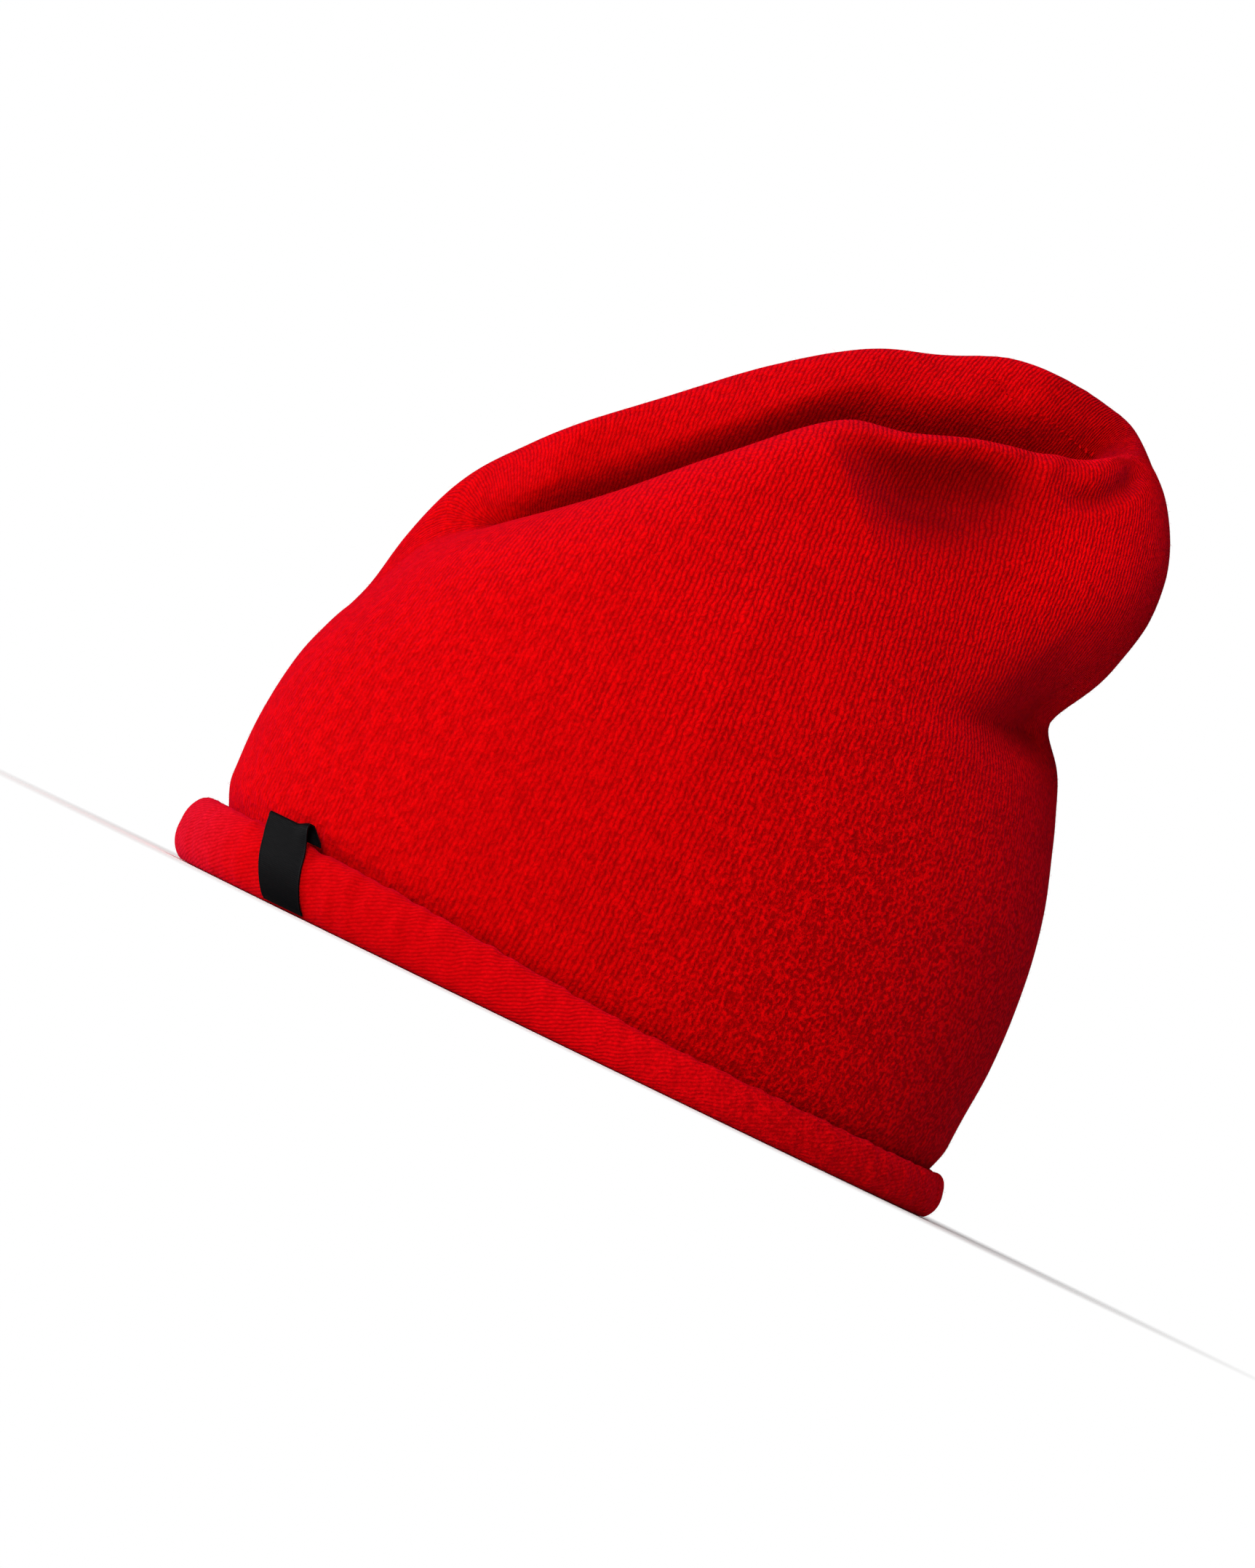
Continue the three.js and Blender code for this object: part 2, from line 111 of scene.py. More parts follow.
# The fold above the nape.
NAPE_Z, NAPE_DEPTH, NAPE_BREADTH = 130.5, 7.5, 46
NAPE_ABOVE, NAPE_BELOW = 12, 8  # how softly it ends

# The sunk hollow under the left ridge: a line that climbs towards the back.
HOLLOW_Y, HOLLOW_Z, HOLLOW_RISE, HOLLOW_DEPTH = 8, 162.5, 25.5, 11
HOLLOW_EDGE, HOLLOW_SLANT = 18, 0.45  # length and slant of its sharp near edge
HOLLOW_FULL, HOLLOW_FADE = 28, 18  # how far it runs at full depth, and how softly it ends
HOLLOW_ABOVE, HOLLOW_BELOW = 12, 15  # half widths on the two sides of the line

# The curl at the back of the left ridge: a crease along part of a circle.
CURL_Y, CURL_Z, CURL_RADIUS, CURL_DEPTH, CURL_WIDTH = 60, 199, 13.5, 3.4, 3.4

LEAN = 24  # how far the top of the right lobe leans over the valley

# A place on the left side: its middle y and z, the way it runs, and its half length and width.
NAPE_SHADE = (75, 137, 60, 26, 14)
# Where the painted light on the bulge lies.
LIT_BULGE = (73, 171, 76, 32, 17)
CREASES = (  # slight ones: depth, and then the place
    (4.6, 80, 134, 60, 17, 9),
    (1.8, 68, 124, 14, 11, 3.6),
    (1.2, 77, 145, 66, 12, 3.6),
    (-0.9, 60, 113, 8, 22, 5),
    (-1.1, 53.5, 187, 86, 6, 2.2),
    (0.7, 47, 184, 80, 7, 3),
)

GIRTH = 590.0  # round the crown, for the ridges on its inner face
WALE = 1.75  # columns of stitches closer together than this drop to fewer, wider ones

ROLL_BACK, ROLL_GAIN = 13.5, 6.3  # height of the roll at the back, and how much more in front
ROLL_START, ROLL_RUN = 35, 112  # where it starts to grow, and over what length
ROLL_SUNK = 0.9  # how far the roll flattens on the ground
LUMPS = ((37, 1.2, 0.3), (61, -2.1, 1.9), (83, 3.0, 4.0), (113, 2.3, 2.6))  # waves, drift, phase

LABEL_Y = -77.4
LABEL_TOP = 21.8
LABEL_SLANT = 10.5  # how far the ribbon's foot lies behind its fold
LABEL_TAPER = 2.4  # how much narrower its foot is
LABEL_STAND = 0.4  # how far it stands off the roll
LABEL_SKEW = 2.4  # how far the end behind the fold slips backwards
LABEL_FOLD = np.array([  # outward and up from the middle of the roll and the top of the fold
    (-1.1, -4.2), (-1.9, -1.7), (-2.3, -0.55), (-2.75, -0.25), (-3.2, -0.6), (-3.6, -1.8),
    (-3.9, -3.4),
])


# ---- numbers and directions ----
def ease(t):
    t = np.clip(t, 0, 1)
    return t * t * (3 - 2 * t)


def bell(t):
    return np.exp(-t * t)


def axes(points):
    return points[..., 0], points[..., 1], points[..., 2]


def unit(vectors):
    return vectors / np.linalg.norm(vectors, axis=-1, keepdims=True)


def running(steps):
    """Running totals along the last axis, from zero."""
    return np.cumsum(np.concatenate([np.zeros_like(steps[..., :1]), steps], -1), -1)


def read(table, column, at):
    """A smooth reading of one column of a table between its rows."""
    key, value = table[:, 0], table[:, column]
    step = np.diff(key)
    slope = np.diff(value) / step
    middle = (slope[:-1] * step[1:] + slope[1:] * step[:-1]) / (step[1:] + step[:-1])
    tangent = np.concatenate([slope[:1], middle, slope[-1:]])
    at = np.clip(at, key[0], key[-1])
    row = np.clip(np.searchsorted(key, at, side="right") - 1, 0, len(step) - 1)
    t = (at - key[row]) / step[row]
    start = (1 + 2 * t) * (1 - t) ** 2 * value[row]
    leave = t * (1 - t) ** 2 * step[row] * tangent[row]
    end = t * t * (3 - 2 * t) * value[row + 1]
    arrive = t * t * (t - 1) * step[row] * tangent[row + 1]
    return start + leave + end + arrive


def rounded_max(a, b, softness):
    share = np.clip(0.5 + 0.5 * (a - b) / softness, 0, 1)
    return b + (a - b) * share + softness * share * (1 - share)


def dent(a, b, at_a, at_b, turn, long, wide):
    """A long soft dent in a plane: its middle, the way it runs and its half sizes."""
    c, s = math.cos(math.radians(turn)), math.sin(math.radians(turn))
    along = (a - at_a) * c + (b - at_b) * s
    across = (b - at_b) * c - (a - at_a) * s
    return bell(along / long) * bell(across / wide)


def rising(field, points, d):
    """The direction in which a field of x, y and z rises, at each point."""
    x, y, z = axes(points)
    return unit(np.stack([
        field(x + d, y, z) - field(x - d, y, z),
        field(x, y + d, z) - field(x, y - d, z),
        field(x, y, z + d) - field(x, y, z - d),
    ], -1))


def halve(within, beyond, is_inside, times):
    """Closes in on the cloth between places within it and places beyond it."""
    for _ in range(times):
        middle = (within + beyond) / 2
        inside = is_inside(middle)
        within = np.where(inside, middle, within)
        beyond = np.where(inside, beyond, middle)
    return (within + beyond) / 2


# ---- the shape of the cloth ----
def on_left(x):
    """1 on the wearer's left, easing off towards the middle."""
    return ease(x / 14)


def roll_height(y):
    return ROLL_BACK + ROLL_GAIN * ease((ROLL_START - y) / ROLL_RUN)


def side_wall(x, y, z):
    """Distance outside the plan outline at this height."""
    radius = np.maximum(np.hypot(x, y - CENTRE_Y), TINY)
    half_x = np.where(x > 0, read(OUTLINES, LEFT, z), read(OUTLINES, RIGHT, z))
    back, front = read(OUTLINES, BACK, z), read(OUTLINES, FRONT, z)
    half_y = np.where(y > CENTRE_Y, back - CENTRE_Y, CENTRE_Y - front)
    reach = (np.abs(x) / half_x) ** ROUNDNESS + (np.abs(y - CENTRE_Y) / half_y) ** ROUNDNESS
    reach = np.maximum(reach, (TINY / 80) ** ROUNDNESS)
    return radius - radius / reach ** (1 / ROUNDNESS)


def lid(x, y, z):
    """Distance above the slack top, which slopes more in front than at the back."""
    valley_x, valley_z = read(RIDGES, VALLEY_X, y), read(RIDGES, VALLEY_Z, y)
    ridge_x = np.where(x > valley_x, read(RIDGES, LEFT_X, y), read(RIDGES, RIGHT_X, y))
    ridge_z = np.where(x > valley_x, read(RIDGES, LEFT_Z, y), read(RIDGES, RIGHT_Z, y))
    top = valley_z + (ridge_z - valley_z) * ease((x - valley_x) / (ridge_x - valley_x))
    return (z - top) / np.hypot(1, 0.95 - 0.55 * ease((y + 20) / 40))


def nape_fold(x, y, z):
    """The fold above the nape, which drops a little towards the sides."""
    lift = z - (NAPE_Z - 0.2 * np.abs(x))
    round_back = bell(x / NAPE_BREADTH) * ease((y - 30) / 35)
    return NAPE_DEPTH * bell(lift / np.where(lift > 0, NAPE_ABOVE, NAPE_BELOW)) * round_back


def left_hollow(x, y, z):
    """The sunk hollow: it starts at a sharp edge and fades to the back."""
    turn = math.radians(HOLLOW_RISE)
    along = (y - HOLLOW_Y) * math.cos(turn) + (z - HOLLOW_Z) * math.sin(turn)
    across = (z - HOLLOW_Z) * math.cos(turn) - (y - HOLLOW_Y) * math.sin(turn)
    start = np.clip((along + HOLLOW_SLANT * across) / HOLLOW_EDGE, 0, 1)
    fade = bell(np.maximum(along - HOLLOW_FULL, 0) / HOLLOW_FADE)
    fade = fade * bell(across / np.where(across > 0, HOLLOW_ABOVE, HOLLOW_BELOW))
    below_ridge = ease((read(RIDGES, LEFT_Z, y) - z) / 9)
    return HOLLOW_DEPTH * start * (2 - start) * fade * below_ridge * on_left(x)


def curl_crease(x, y, z):
    """It runs round only the part of its circle that lies behind and below the ridge."""
    off = (np.hypot(y - CURL_Y, z - CURL_Z) - CURL_RADIUS) / CURL_WIDTH
    return CURL_DEPTH * bell(off) * ease((y - 56) / 9) * ease((206 - z) / 12) * on_left(x)


def tuck(y, z):
    """Behind the roll the crown bends in, so that the roll winds round its lower edge."""
    height = roll_height(y)
    return (0.35 * height - 2) * ease((height + 6 - z) / (height / 2 + 6))


def seam_pucker(x, y, z):
    """The groove of the closing seam and the short puckers that run into it."""
    off = z - read(SEAM, 1, y)
    length = ease((y - 27) / 6) * ease((65 - y) / 6)
    groove = 0.9 * bell(off / 1.6)
    pucker = 0.5 * np.sin(y * 1.55 + 0.7 * np.sin(y * 0.6)) * bell(off / 4.5)
    ledge = 2.2 * ease(-off / 3) * bell(off / 16)
    return (groove + pucker + ledge) * length * ease((-4 - x) / 6)


def small_folds(x, y, z):
    """Creases too slight for the solid: at the nape, round the valley's end and over the hem."""
    left = ease((x - 4) / 14)
    fold = -1.6 * np.exp(-np.abs(y - 2.5) / 13) * bell((z - 104) / 56) * left
    for depth, *place in CREASES:
        fold += depth * dent(y, z, *place) * left
    ripple = np.sin((y - 0.35 * z) / 6.3 + 1.1 * np.sin(y / 21)) * bell((z - 27) / 9)
    fold += 0.22 * ripple * ease((y + 40) / 60)
    sway = np.sin(y / 17 + z / 29 + 1.3) * np.sin(z / 19 - x / 23 + 0.6)
    sway = sway + np.sin(x / 15 - y / 31 + z / 41)
    return fold + 0.2 * sway * ease((z - 24) / 20)


def cloth(x, y, z):
    """Zero on the cloth's outer face, negative in the hollow and positive outside. The turn
    from the walls to the top is rounder in front than at the back."""
    softness = 26 - 14 * ease((y + 70) / 80)
    shell = rounded_max(side_wall(x, y, z) + left_hollow(x, y, z), lid(x, y, z), softness)
    folds = nape_fold(x, y, z) + curl_crease(x, y, z)
    return shell + tuck(y, z) + folds + small_folds(x, y, z) + seam_pucker(x, y, z)


def lean_over(points):
    """The right lobe rolls over towards the valley, so that its lower side faces down into it."""
    x, y, z = axes(points)
    base = read(RIDGES, LEFT_Z, y) - 10
    push = LEAN * ease((z - base) / 22) * ease((22 - x) / 44)
    push = push * ease((y + 88) / 28) * ease((76 - y) / 36)
    return points + np.stack([push, np.zeros_like(y), np.zeros_like(y)], -1)


def painted_fold_shade(points):
    """Painted shade: how strongly each point is darkened for lying deep in a fold, at the valley,
    the hollow, the nape and the curl, from 0 on the open sides to 1.
    """
    x, y, z = axes(points)
    over = z - read(RIDGES, LEFT_Z, y)
    across = ease((read(RIDGES, LEFT_X, y) - 3 - x) / 9)
    across = across * ease((x - read(RIDGES, RIGHT_X, y) + 6) / 9)
    valley = 0.12 * across * bell(np.maximum(over - 5, 0) / 10)
    valley = valley * ease((y + 88) / 22) * ease((72 - y) / 10)
    hollow = np.clip(left_hollow(x, y, z) / 7, 0, 1)
    nape = dent(y, z, *NAPE_SHADE) * ease((y - 52) / 16) * on_left(x)
    curl = np.clip(curl_crease(x, y, z) / CURL_DEPTH, 0, 1)
    return np.maximum.reduce([valley, hollow, 0.55 * nape, 0.8 * curl])


def bulge_painted_light(points):
    """Painted light: how much paler the bulge at the back is coloured, standing in for the extra
    light it catches.
    """
    x, y, z = axes(points)
    return dent(y, z, *LIT_BULGE) * ease((y - 46) / 16) * on_left(x)


def outward(points):
    """The cloth's outward direction at each point."""
    return rising(cloth, points, 0.3)


def meet(start, way):
    """Where lines from the middle of the hat meet the cloth."""
    near, far = np.full(start.shape[:-1], 5.0), np.full(start.shape[:-1], 190.0)
    reach = halve(near, far, lambda t: cloth(*axes(start + way * t[..., None])) < 0, 26)
    return start + way * reach[..., None]


def round_turn(count):
    return 2 * np.pi * np.arange(count) / count


def spokes(count):
    """Where the lines of cloth start, along the middle of the hat, and their level directions."""
    turn = round_turn(count)
    start = np.stack([np.full(count, SPINE_X), SPINE_Y + SPINE_REACH * np.sin(turn)], -1)
    way = np.stack([HALF_WIDTH * np.cos(turn), 1 + 105 * np.sin(turn)], -1) - start
    return start, unit(np.column_stack([way, np.zeros(count)]))


def wales(count, rows, steps=300, turn_weight=3.0):
    """Lines of cloth from the lower edge to the bottom of the valley, with each point's
    distance along its line. Rows crowd together where the cloth turns. The cloth is found in
    level directions up to CENTRE_Z, and in ever steeper ones above it."""
    spine, way = spokes(count)
    low = np.full(count, 7.0)  # a level behind the roll
    edge = meet(np.column_stack([spine, low]), way)
    bottom = roll_height(edge[:, 1]) / 2
    t = np.linspace(0, 2, steps)
    level = bottom[:, None] + (CENTRE_Z - bottom[:, None]) * np.minimum(t, 1)
    rise = math.radians(STEEPEST) * np.maximum(t - 1, 0)
    start = np.concatenate([np.repeat(spine[:, None], steps, 1), level[..., None]], -1)
    share = (1 + (spine[:, 1] - SPINE_Y) / SPINE_REACH) / 2
    start[..., 1] += SPINE_DRIFT * share[:, None] * np.maximum(t - 1, 0) ** 3
    heading = way[:, None, :] * np.cos(rise)[None, :, None]
    heading[..., 2] = np.sin(rise)
    trace = meet(start, heading)
    step = np.diff(trace, axis=1)
    length = np.linalg.norm(step, axis=-1)
    along = step / np.maximum(length, 1e-6)[..., None]
    turn = np.arccos(np.clip((along[:, 1:] * along[:, :-1]).sum(-1), -1, 1))
    weight = running(length + turn_weight * np.concatenate([np.zeros((count, 1)), turn], 1))
    travel = running(length)
    points, distance = np.empty((rows, count, 3)), np.empty((rows, count))
    for i in range(count):
        target = np.linspace(0, weight[i, -1], rows)
        for axis in range(3):
            points[:, i, axis] = np.interp(target, weight[i], trace[i, :, axis])
        distance[:, i] = np.interp(target, weight[i], travel[i])
    return points, distance


# ---- mesh helpers ----
def add_mesh(name, points, faces, *materials):
    """A mesh object at the origin, from points in millimetres."""
    mesh = bpy.data.meshes.new(name)
    mesh.from_pydata((np.asarray(points) * MM).tolist(), [], [tuple(map(int, f)) for f in faces])
    for material in materials:
        mesh.materials.append(material)
    mesh.shade_smooth()
    return link(name, mesh)


def link(name, data):
    item = bpy.data.objects.new(name, data)
    bpy.context.collection.objects.link(item)
    return item


def strip(lower, upper, count):
    """Faces between two closed rings that start at these vertex numbers."""
    i = np.arange(count)
    j = (i + 1) % count
    return np.stack([lower + i, lower + j, upper + j, upper + i], -1)


def corner_vertices(mesh):
    corner = np.empty(len(mesh.loops), int)
    mesh.loops.foreach_get("vertex_index", corner)
    return corner


def set_uv(mesh, u, v):
    """u and v, in metres or turns, for each face corner in order."""
    corners = np.stack([u, v], -1).astype(np.float32)
    mesh.uv_layers.new(name="UVMap").data.foreach_set("uv", corners.ravel())


def set_values(mesh, name, kind, domain, values):
    layer = mesh.attributes.new(name, kind, domain)
    field = "vector" if kind == "FLOAT_VECTOR" else "value"
    layer.data.foreach_set(field, np.asarray(values).ravel())


# ---- node helpers ----
def sums(operation):
    """A node sum with the value on the left, and the same with it on the right."""
    def ahead(self, other):
        return self.wire.maths(operation, self, other)

    def behind(self, other):
        return self.wire.maths(operation, other, self)

    return ahead, behind


class Flow:
    """What comes out of a node, so that a sum of node values is written as a sum."""

    def __init__(self, wire, socket):
        self.wire = wire
        self.socket = socket

    __add__, __radd__ = sums("ADD")
    __sub__, __rsub__ = sums("SUBTRACT")
    __mul__, __rmul__ = sums("MULTIPLY")
    __truediv__, __rtruediv__ = sums("DIVIDE")


class Wiring:
    """Short ways to add and join the nodes of one tree."""

    def __init__(self, tree):
        self.tree = tree
        self.count = 0

    def add(self, kind, **settings):
        item = self.tree.nodes.new(kind)
        item.location = (180 * (self.count % 12), -220 * (self.count // 12))
        self.count += 1
        for name, value in settings.items():
            setattr(item, name, value)
        return item

    def feed(self, socket, value):
        if isinstance(value, Flow):
            self.tree.links.new(value.socket, socket)
        else:
            socket.default_value = value

    def put(self, item, **values):
        """Feeds the inputs of these names."""
        for name, value in values.items():
            self.feed(item.inputs[name.replace("_", " ")], value)
        return item

    def fill(self, item, *values):
        """Feeds a node's inputs in their order and gives what comes out of it."""
        for socket, value in zip([s for s in item.inputs if s.enabled], values):
            self.feed(socket, value)
        return Flow(self, next(s for s in item.outputs if s.enabled))

    def out(self, item, output=0):
        return Flow(self, item.outputs[output])

    def value(self, kind, output=0, **inputs):
        return self.out(self.put(self.add(kind), **inputs), output)

    def take(self, *labels):
        """The inputs of the whole group."""
        item = self.add("NodeGroupInput")
        return [self.out(item, label) for label in labels]

    def give(self, **values):
        """The outputs of the whole group."""
        self.put(self.add("NodeGroupOutput"), **values)
        return self.tree

    def group(self, tree, **values):
        return self.put(self.add("ShaderNodeGroup", node_tree=tree), **values)

    def maths(self, operation, *values, clamp=False):
        return self.fill(self.add("ShaderNodeMath", operation=operation, use_clamp=clamp), *values)

    def off_middle(self, a):
        """How far a number lies from half way between two whole numbers."""
        return self.maths("ABSOLUTE", self.maths("FRACT", a) - 0.5)

    def wave(self, a):
        """0 at each whole number and 1 half way between."""
        return 1.0 - self.off_middle(a) * 2.0

    def spread(self, value, low, high, to_low=0.0, to_high=1.0):
        item = self.add("ShaderNodeMapRange", interpolation_type="SMOOTHSTEP")
        return self.fill(item, value, low, high, to_low, to_high)

    def noise(self, where, scale, detail=2.0, rough=0.5):
        return self.value(
            "ShaderNodeTexNoise", Vector=where, Scale=scale, Detail=detail, Roughness=rough)

    def blend(self, share, a, b):
        return self.fill(self.add("ShaderNodeMix", data_type="RGBA"), share, a, b)

    def blend_shaders(self, share, a, b):
        return self.fill(self.add("ShaderNodeMixShader"), share, a, b)

    def place(self):
        return self.value("ShaderNodeTexCoord", "Object")

    def axes(self, vector):
        item = self.put(self.add("ShaderNodeSeparateXYZ"), Vector=vector)
        return [self.out(item, axis) for axis in range(3)]

    def vector(self, x, y, z):
        return self.value("ShaderNodeCombineXYZ", X=x, Y=y, Z=z)

    def flat(self):
        """The piece's own U and V."""
        return self.axes(self.out(self.add("ShaderNodeUVMap", uv_map="UVMap")))[:2]

    def marked(self, name):
        return self.out(self.add("ShaderNodeAttribute", attribute_name=name), "Fac")

    def bump(self, shader, strength, distance, height):
        relief = self.value("ShaderNodeBump", Strength=strength, Distance=distance, Height=height)
        self.put(shader, Normal=relief)

    def named(self, name, kind):
        """A value stored on the mesh, for geometry trees."""
        return self.fill(self.add("GeometryNodeInputNamedAttribute", data_type=kind), name)

    def random(self, low, high, seed):
        item = self.add("FunctionNodeRandomValue", data_type="FLOAT")
        return self.fill(self.put(item, Seed=seed), low, high)

    def turned(self, rotation, by):
        item = self.add("FunctionNodeRotateRotation", rotation_space="LOCAL")
        return self.fill(item, rotation, by)

    def give_pieces(self, material, **values):
        """Sets pieces on points, makes them one real mesh of this material and gives it."""
        stand = self.value("GeometryNodeInstanceOnPoints", **values)
        real = self.value("GeometryNodeRealizeInstances", Geometry=stand)
        dyed = self.value("GeometryNodeSetMaterial", Geometry=real, Material=material)
        return self.give(Geometry=dyed)


def new_group(name, kind, inputs, outputs):
    """The wiring of a new node group, from the kinds of its inputs and outputs."""
    tree = bpy.data.node_groups.new(name, kind)
    for way, sockets in (("INPUT", inputs), ("OUTPUT", outputs)):
        for label, of_kind in sockets.items():
            tree.interface.new_socket(label, in_out=way, socket_type="NodeSocket" + of_kind)
    return Wiring(tree)


def number_group(name, inputs, outputs):
    """The wiring of a new shader group of numbers, from what its inputs start at."""
    wire = new_group(
        name, "ShaderNodeTree", dict.fromkeys(inputs, "Float"), dict.fromkeys(outputs, "Float"))
    for socket in wire.tree.interface.items_tree:
        if socket.in_out == "INPUT":
            socket.default_value = inputs[socket.name]
    return wire


def once(name, build):
    """The node group of this name, built the first time that it is asked for."""
    return bpy.data.node_groups.get(name) or build(name)


def loop_group(name):
    """Height of knitted loops: one column for each step of U and one row for each step of V."""
    wire = number_group(name, {"U": 0.0, "V": 0.0}, ["Height"])
    u, v = wire.take("U", "V")
    side = wire.off_middle(u)
    across = 1.0 - wire.maths("ABSOLUTE", side - 0.25) * 4.0
    leg = wire.maths("POWER", across, 0.55, clamp=True)
    step = 0.5 + wire.maths("POWER", wire.wave(v - side * 1.5), 0.6, clamp=True) * 0.5
    return wire.give(Height=leg * step)


def stocking_group(name):
    """Stocking stitch that drops to fewer, wider columns where the cloth gathers in."""
    inputs = {"Wales": 0.0, "Courses": 0.0, "Gather": 0.0, "Wobble": 0.6}
    wire = number_group(name, inputs, ["Height"])
    across, up, gather, wobble = wire.take(*inputs)
    place = wire.place()
    u = across + (wire.noise(place, 260.0) - 0.5) * wobble
    v = up + (wire.noise(place, 410.0, 1.0) - 0.5) * (wobble * 3.0)
    halved = wire.maths("FLOOR", gather)  # how many times the columns halve in number
    loops = once("Knitted Loops", loop_group)
    fine = wire.out(wire.group(loops, U=u / wire.maths("POWER", 2.0, halved), V=v))
    wide = wire.out(wire.group(loops, U=u / wire.maths("POWER", 2.0, halved + 1.0), V=v))
    share = wire.spread(gather - halved, 0.35, 0.65)
    return wire.give(Height=fine + (wide - fine) * share)


def purl_group(name):
    """The reverse of stocking stitch: broken ridges. Along and Across are in millimetres."""
    inputs = {"Along": 0.0, "Across": 0.0, "Slant": 0.4, "Pitch": 1.3, "Bump": 2.2}
    wire = number_group(name, inputs, ["Height"])
    along, across, slant, pitch, bump = wire.take(*inputs)
    c, s = wire.maths("COSINE", slant), wire.maths("SINE", slant)
    sway = wire.noise(wire.place(), 230.0) - 0.5
    line = (across * c - along * s) / pitch + sway * 0.9
    beat = (along * c + across * s) / bump + wire.maths("FLOOR", line) * 0.5
    ridge = wire.maths("POWER", wire.wave(line), 0.6, clamp=True)
    bead = 0.62 + wire.wave(beat + sway * 0.8) * 0.38
    return wire.give(Height=ridge * bead)


def felt_group(name):
    """Lightly felted wool: fuzz, two-millimetre pebbles, soft patches, and how plainly the
    stitches show. The front and the lower part are felted most, and the back is fuzziest.
    Heights and places from front to back are in metres."""
    inputs = {"Clump": 900.0, "Fibre": 3400.0}
    wire = number_group(name, inputs, ["Fuzz", "Pebble", "Patch", "Clear"])
    clump, fibre = wire.take(*inputs)
    place = wire.place()
    fuzz = wire.noise(place, clump, 2.0, 0.55) * 0.75 + wire.noise(place, fibre, 2.0, 0.6) * 0.25
    _, y, z = wire.axes(place)
    drift = (wire.noise(place, 40.0) - 0.5) * 0.06
    level, back = z + drift, y + drift
    low_back = wire.spread(level, 0.15, 0.06) * wire.spread(back, 0.0, 0.06)
    rough = wire.spread(back, -0.07, 0.05, 0.45, 0.8) + low_back * 1.3
    clear = wire.spread(level, 0.07, 0.14, 0.42, 0.75) + wire.spread(back, -0.06, 0.03, -0.12, 0.25)
    return wire.give(
        Fuzz=0.5 + (wire.spread(fuzz, 0.34, 0.66) - 0.5) * rough,
        Pebble=wire.spread(wire.noise(place, 360.0, 1.5), 0.34, 0.66),
        Patch=wire.spread(wire.noise(place, 60.0), 0.3, 0.7),
        Clear=clear - low_back * 0.3)


# ---- materials ----
def new_material(name, **finish):
    """A node material, with its wiring and its Principled shader set to a constant finish."""
    material = bpy.data.materials.new(name)
    material.use_nodes = True
    shader = next(n for n in material.node_tree.nodes if n.type == "BSDF_PRINCIPLED")
    wire = Wiring(material.node_tree)
    wire.put(shader, **finish)
    return material, wire, shader


def wool_material(name, yarn):
    """Wool is matt, with a soft bloom in its own colour."""
    return new_material(
        name, Metallic=0.0, Roughness=1.0, Specular_IOR_Level=0.02, Sheen_Weight=yarn.sheen,
        Sheen_Roughness=0.45, Sheen_Tint=(*yarn.bloom, 1))


def shade(colour, by=1.0):
    return tuple(c * by for c in colour) + (1,)


def wool_tone(wire, shader, yarn, tone, uneven=None):
    """The wool's colour, with painted shade: darker where the cloth lies deep in a fold."""
    deep = wire.marked("deep") * yarn.depth
    if uneven:
        deep = deep * uneven
    wire.put(shader, Base_Color=wire.blend(deep, tone, shade(yarn.dark, 0.25)))


def wool_colour(wire, shader, yarn, dark, tip, height, stitches, fleece, pebbles):
    """Colour from the yarn's raised fibres and depths, and relief from the stitches, the fuzz
    and the pebbles. stitches, fleece and pebbles say how much each of the three counts."""
    felt = wire.group(once("Felted Wool", felt_group))
    fuzz, pebble, patch, clear = (wire.out(felt, n) for n in ("Fuzz", "Pebble", "Patch", "Clear"))
    drawn = height * clear
    share = drawn * stitches + fuzz * fleece + pebble * (0.14 * pebbles)
    share = share * (0.96 + patch * 0.05) + (1.0 - clear) * (0.5 * stitches)
    low = 0.43 * fleece + 0.1
    tone = wire.blend(wire.spread(share, low, low + stitches), dark, tip)
    # The painted fold shade is made patchy by the fuzz and the patches.
    wool_tone(wire, shader, yarn, tone, 0.5 + fuzz * 0.45 + patch * 0.3)
    relief = drawn + fuzz * (1.2 * fleece) + pebble * ((1.1 - clear * 0.8) * pebbles)
    wire.bump(shader, yarn.strength, yarn.relief, relief)


def knit_material(yarn):
    material, wire, shader = wool_material("red knit", yarn)
    u, v = wire.flat()
    stitch = wire.group(
        once("Stocking Stitch", stocking_group), Wales=u * yarn.wales,
        Courses=v * 1000.0 / yarn.course, Gather=wire.marked("gather"))
    # Painted light: the bulge at the back is lighter, in its raised fibres and between them.
    stretched = wire.marked("stretched")
    dark = wire.blend(stretched, shade(yarn.dark), shade(yarn.dark, 1.5))
    tip = wire.blend(stretched, shade(yarn.light), shade(yarn.light, 1.4))
    wool_colour(
        wire, shader, yarn, dark, tip, wire.out(stitch), stitches=0.78, fleece=0.36, pebbles=0.8)
    return material


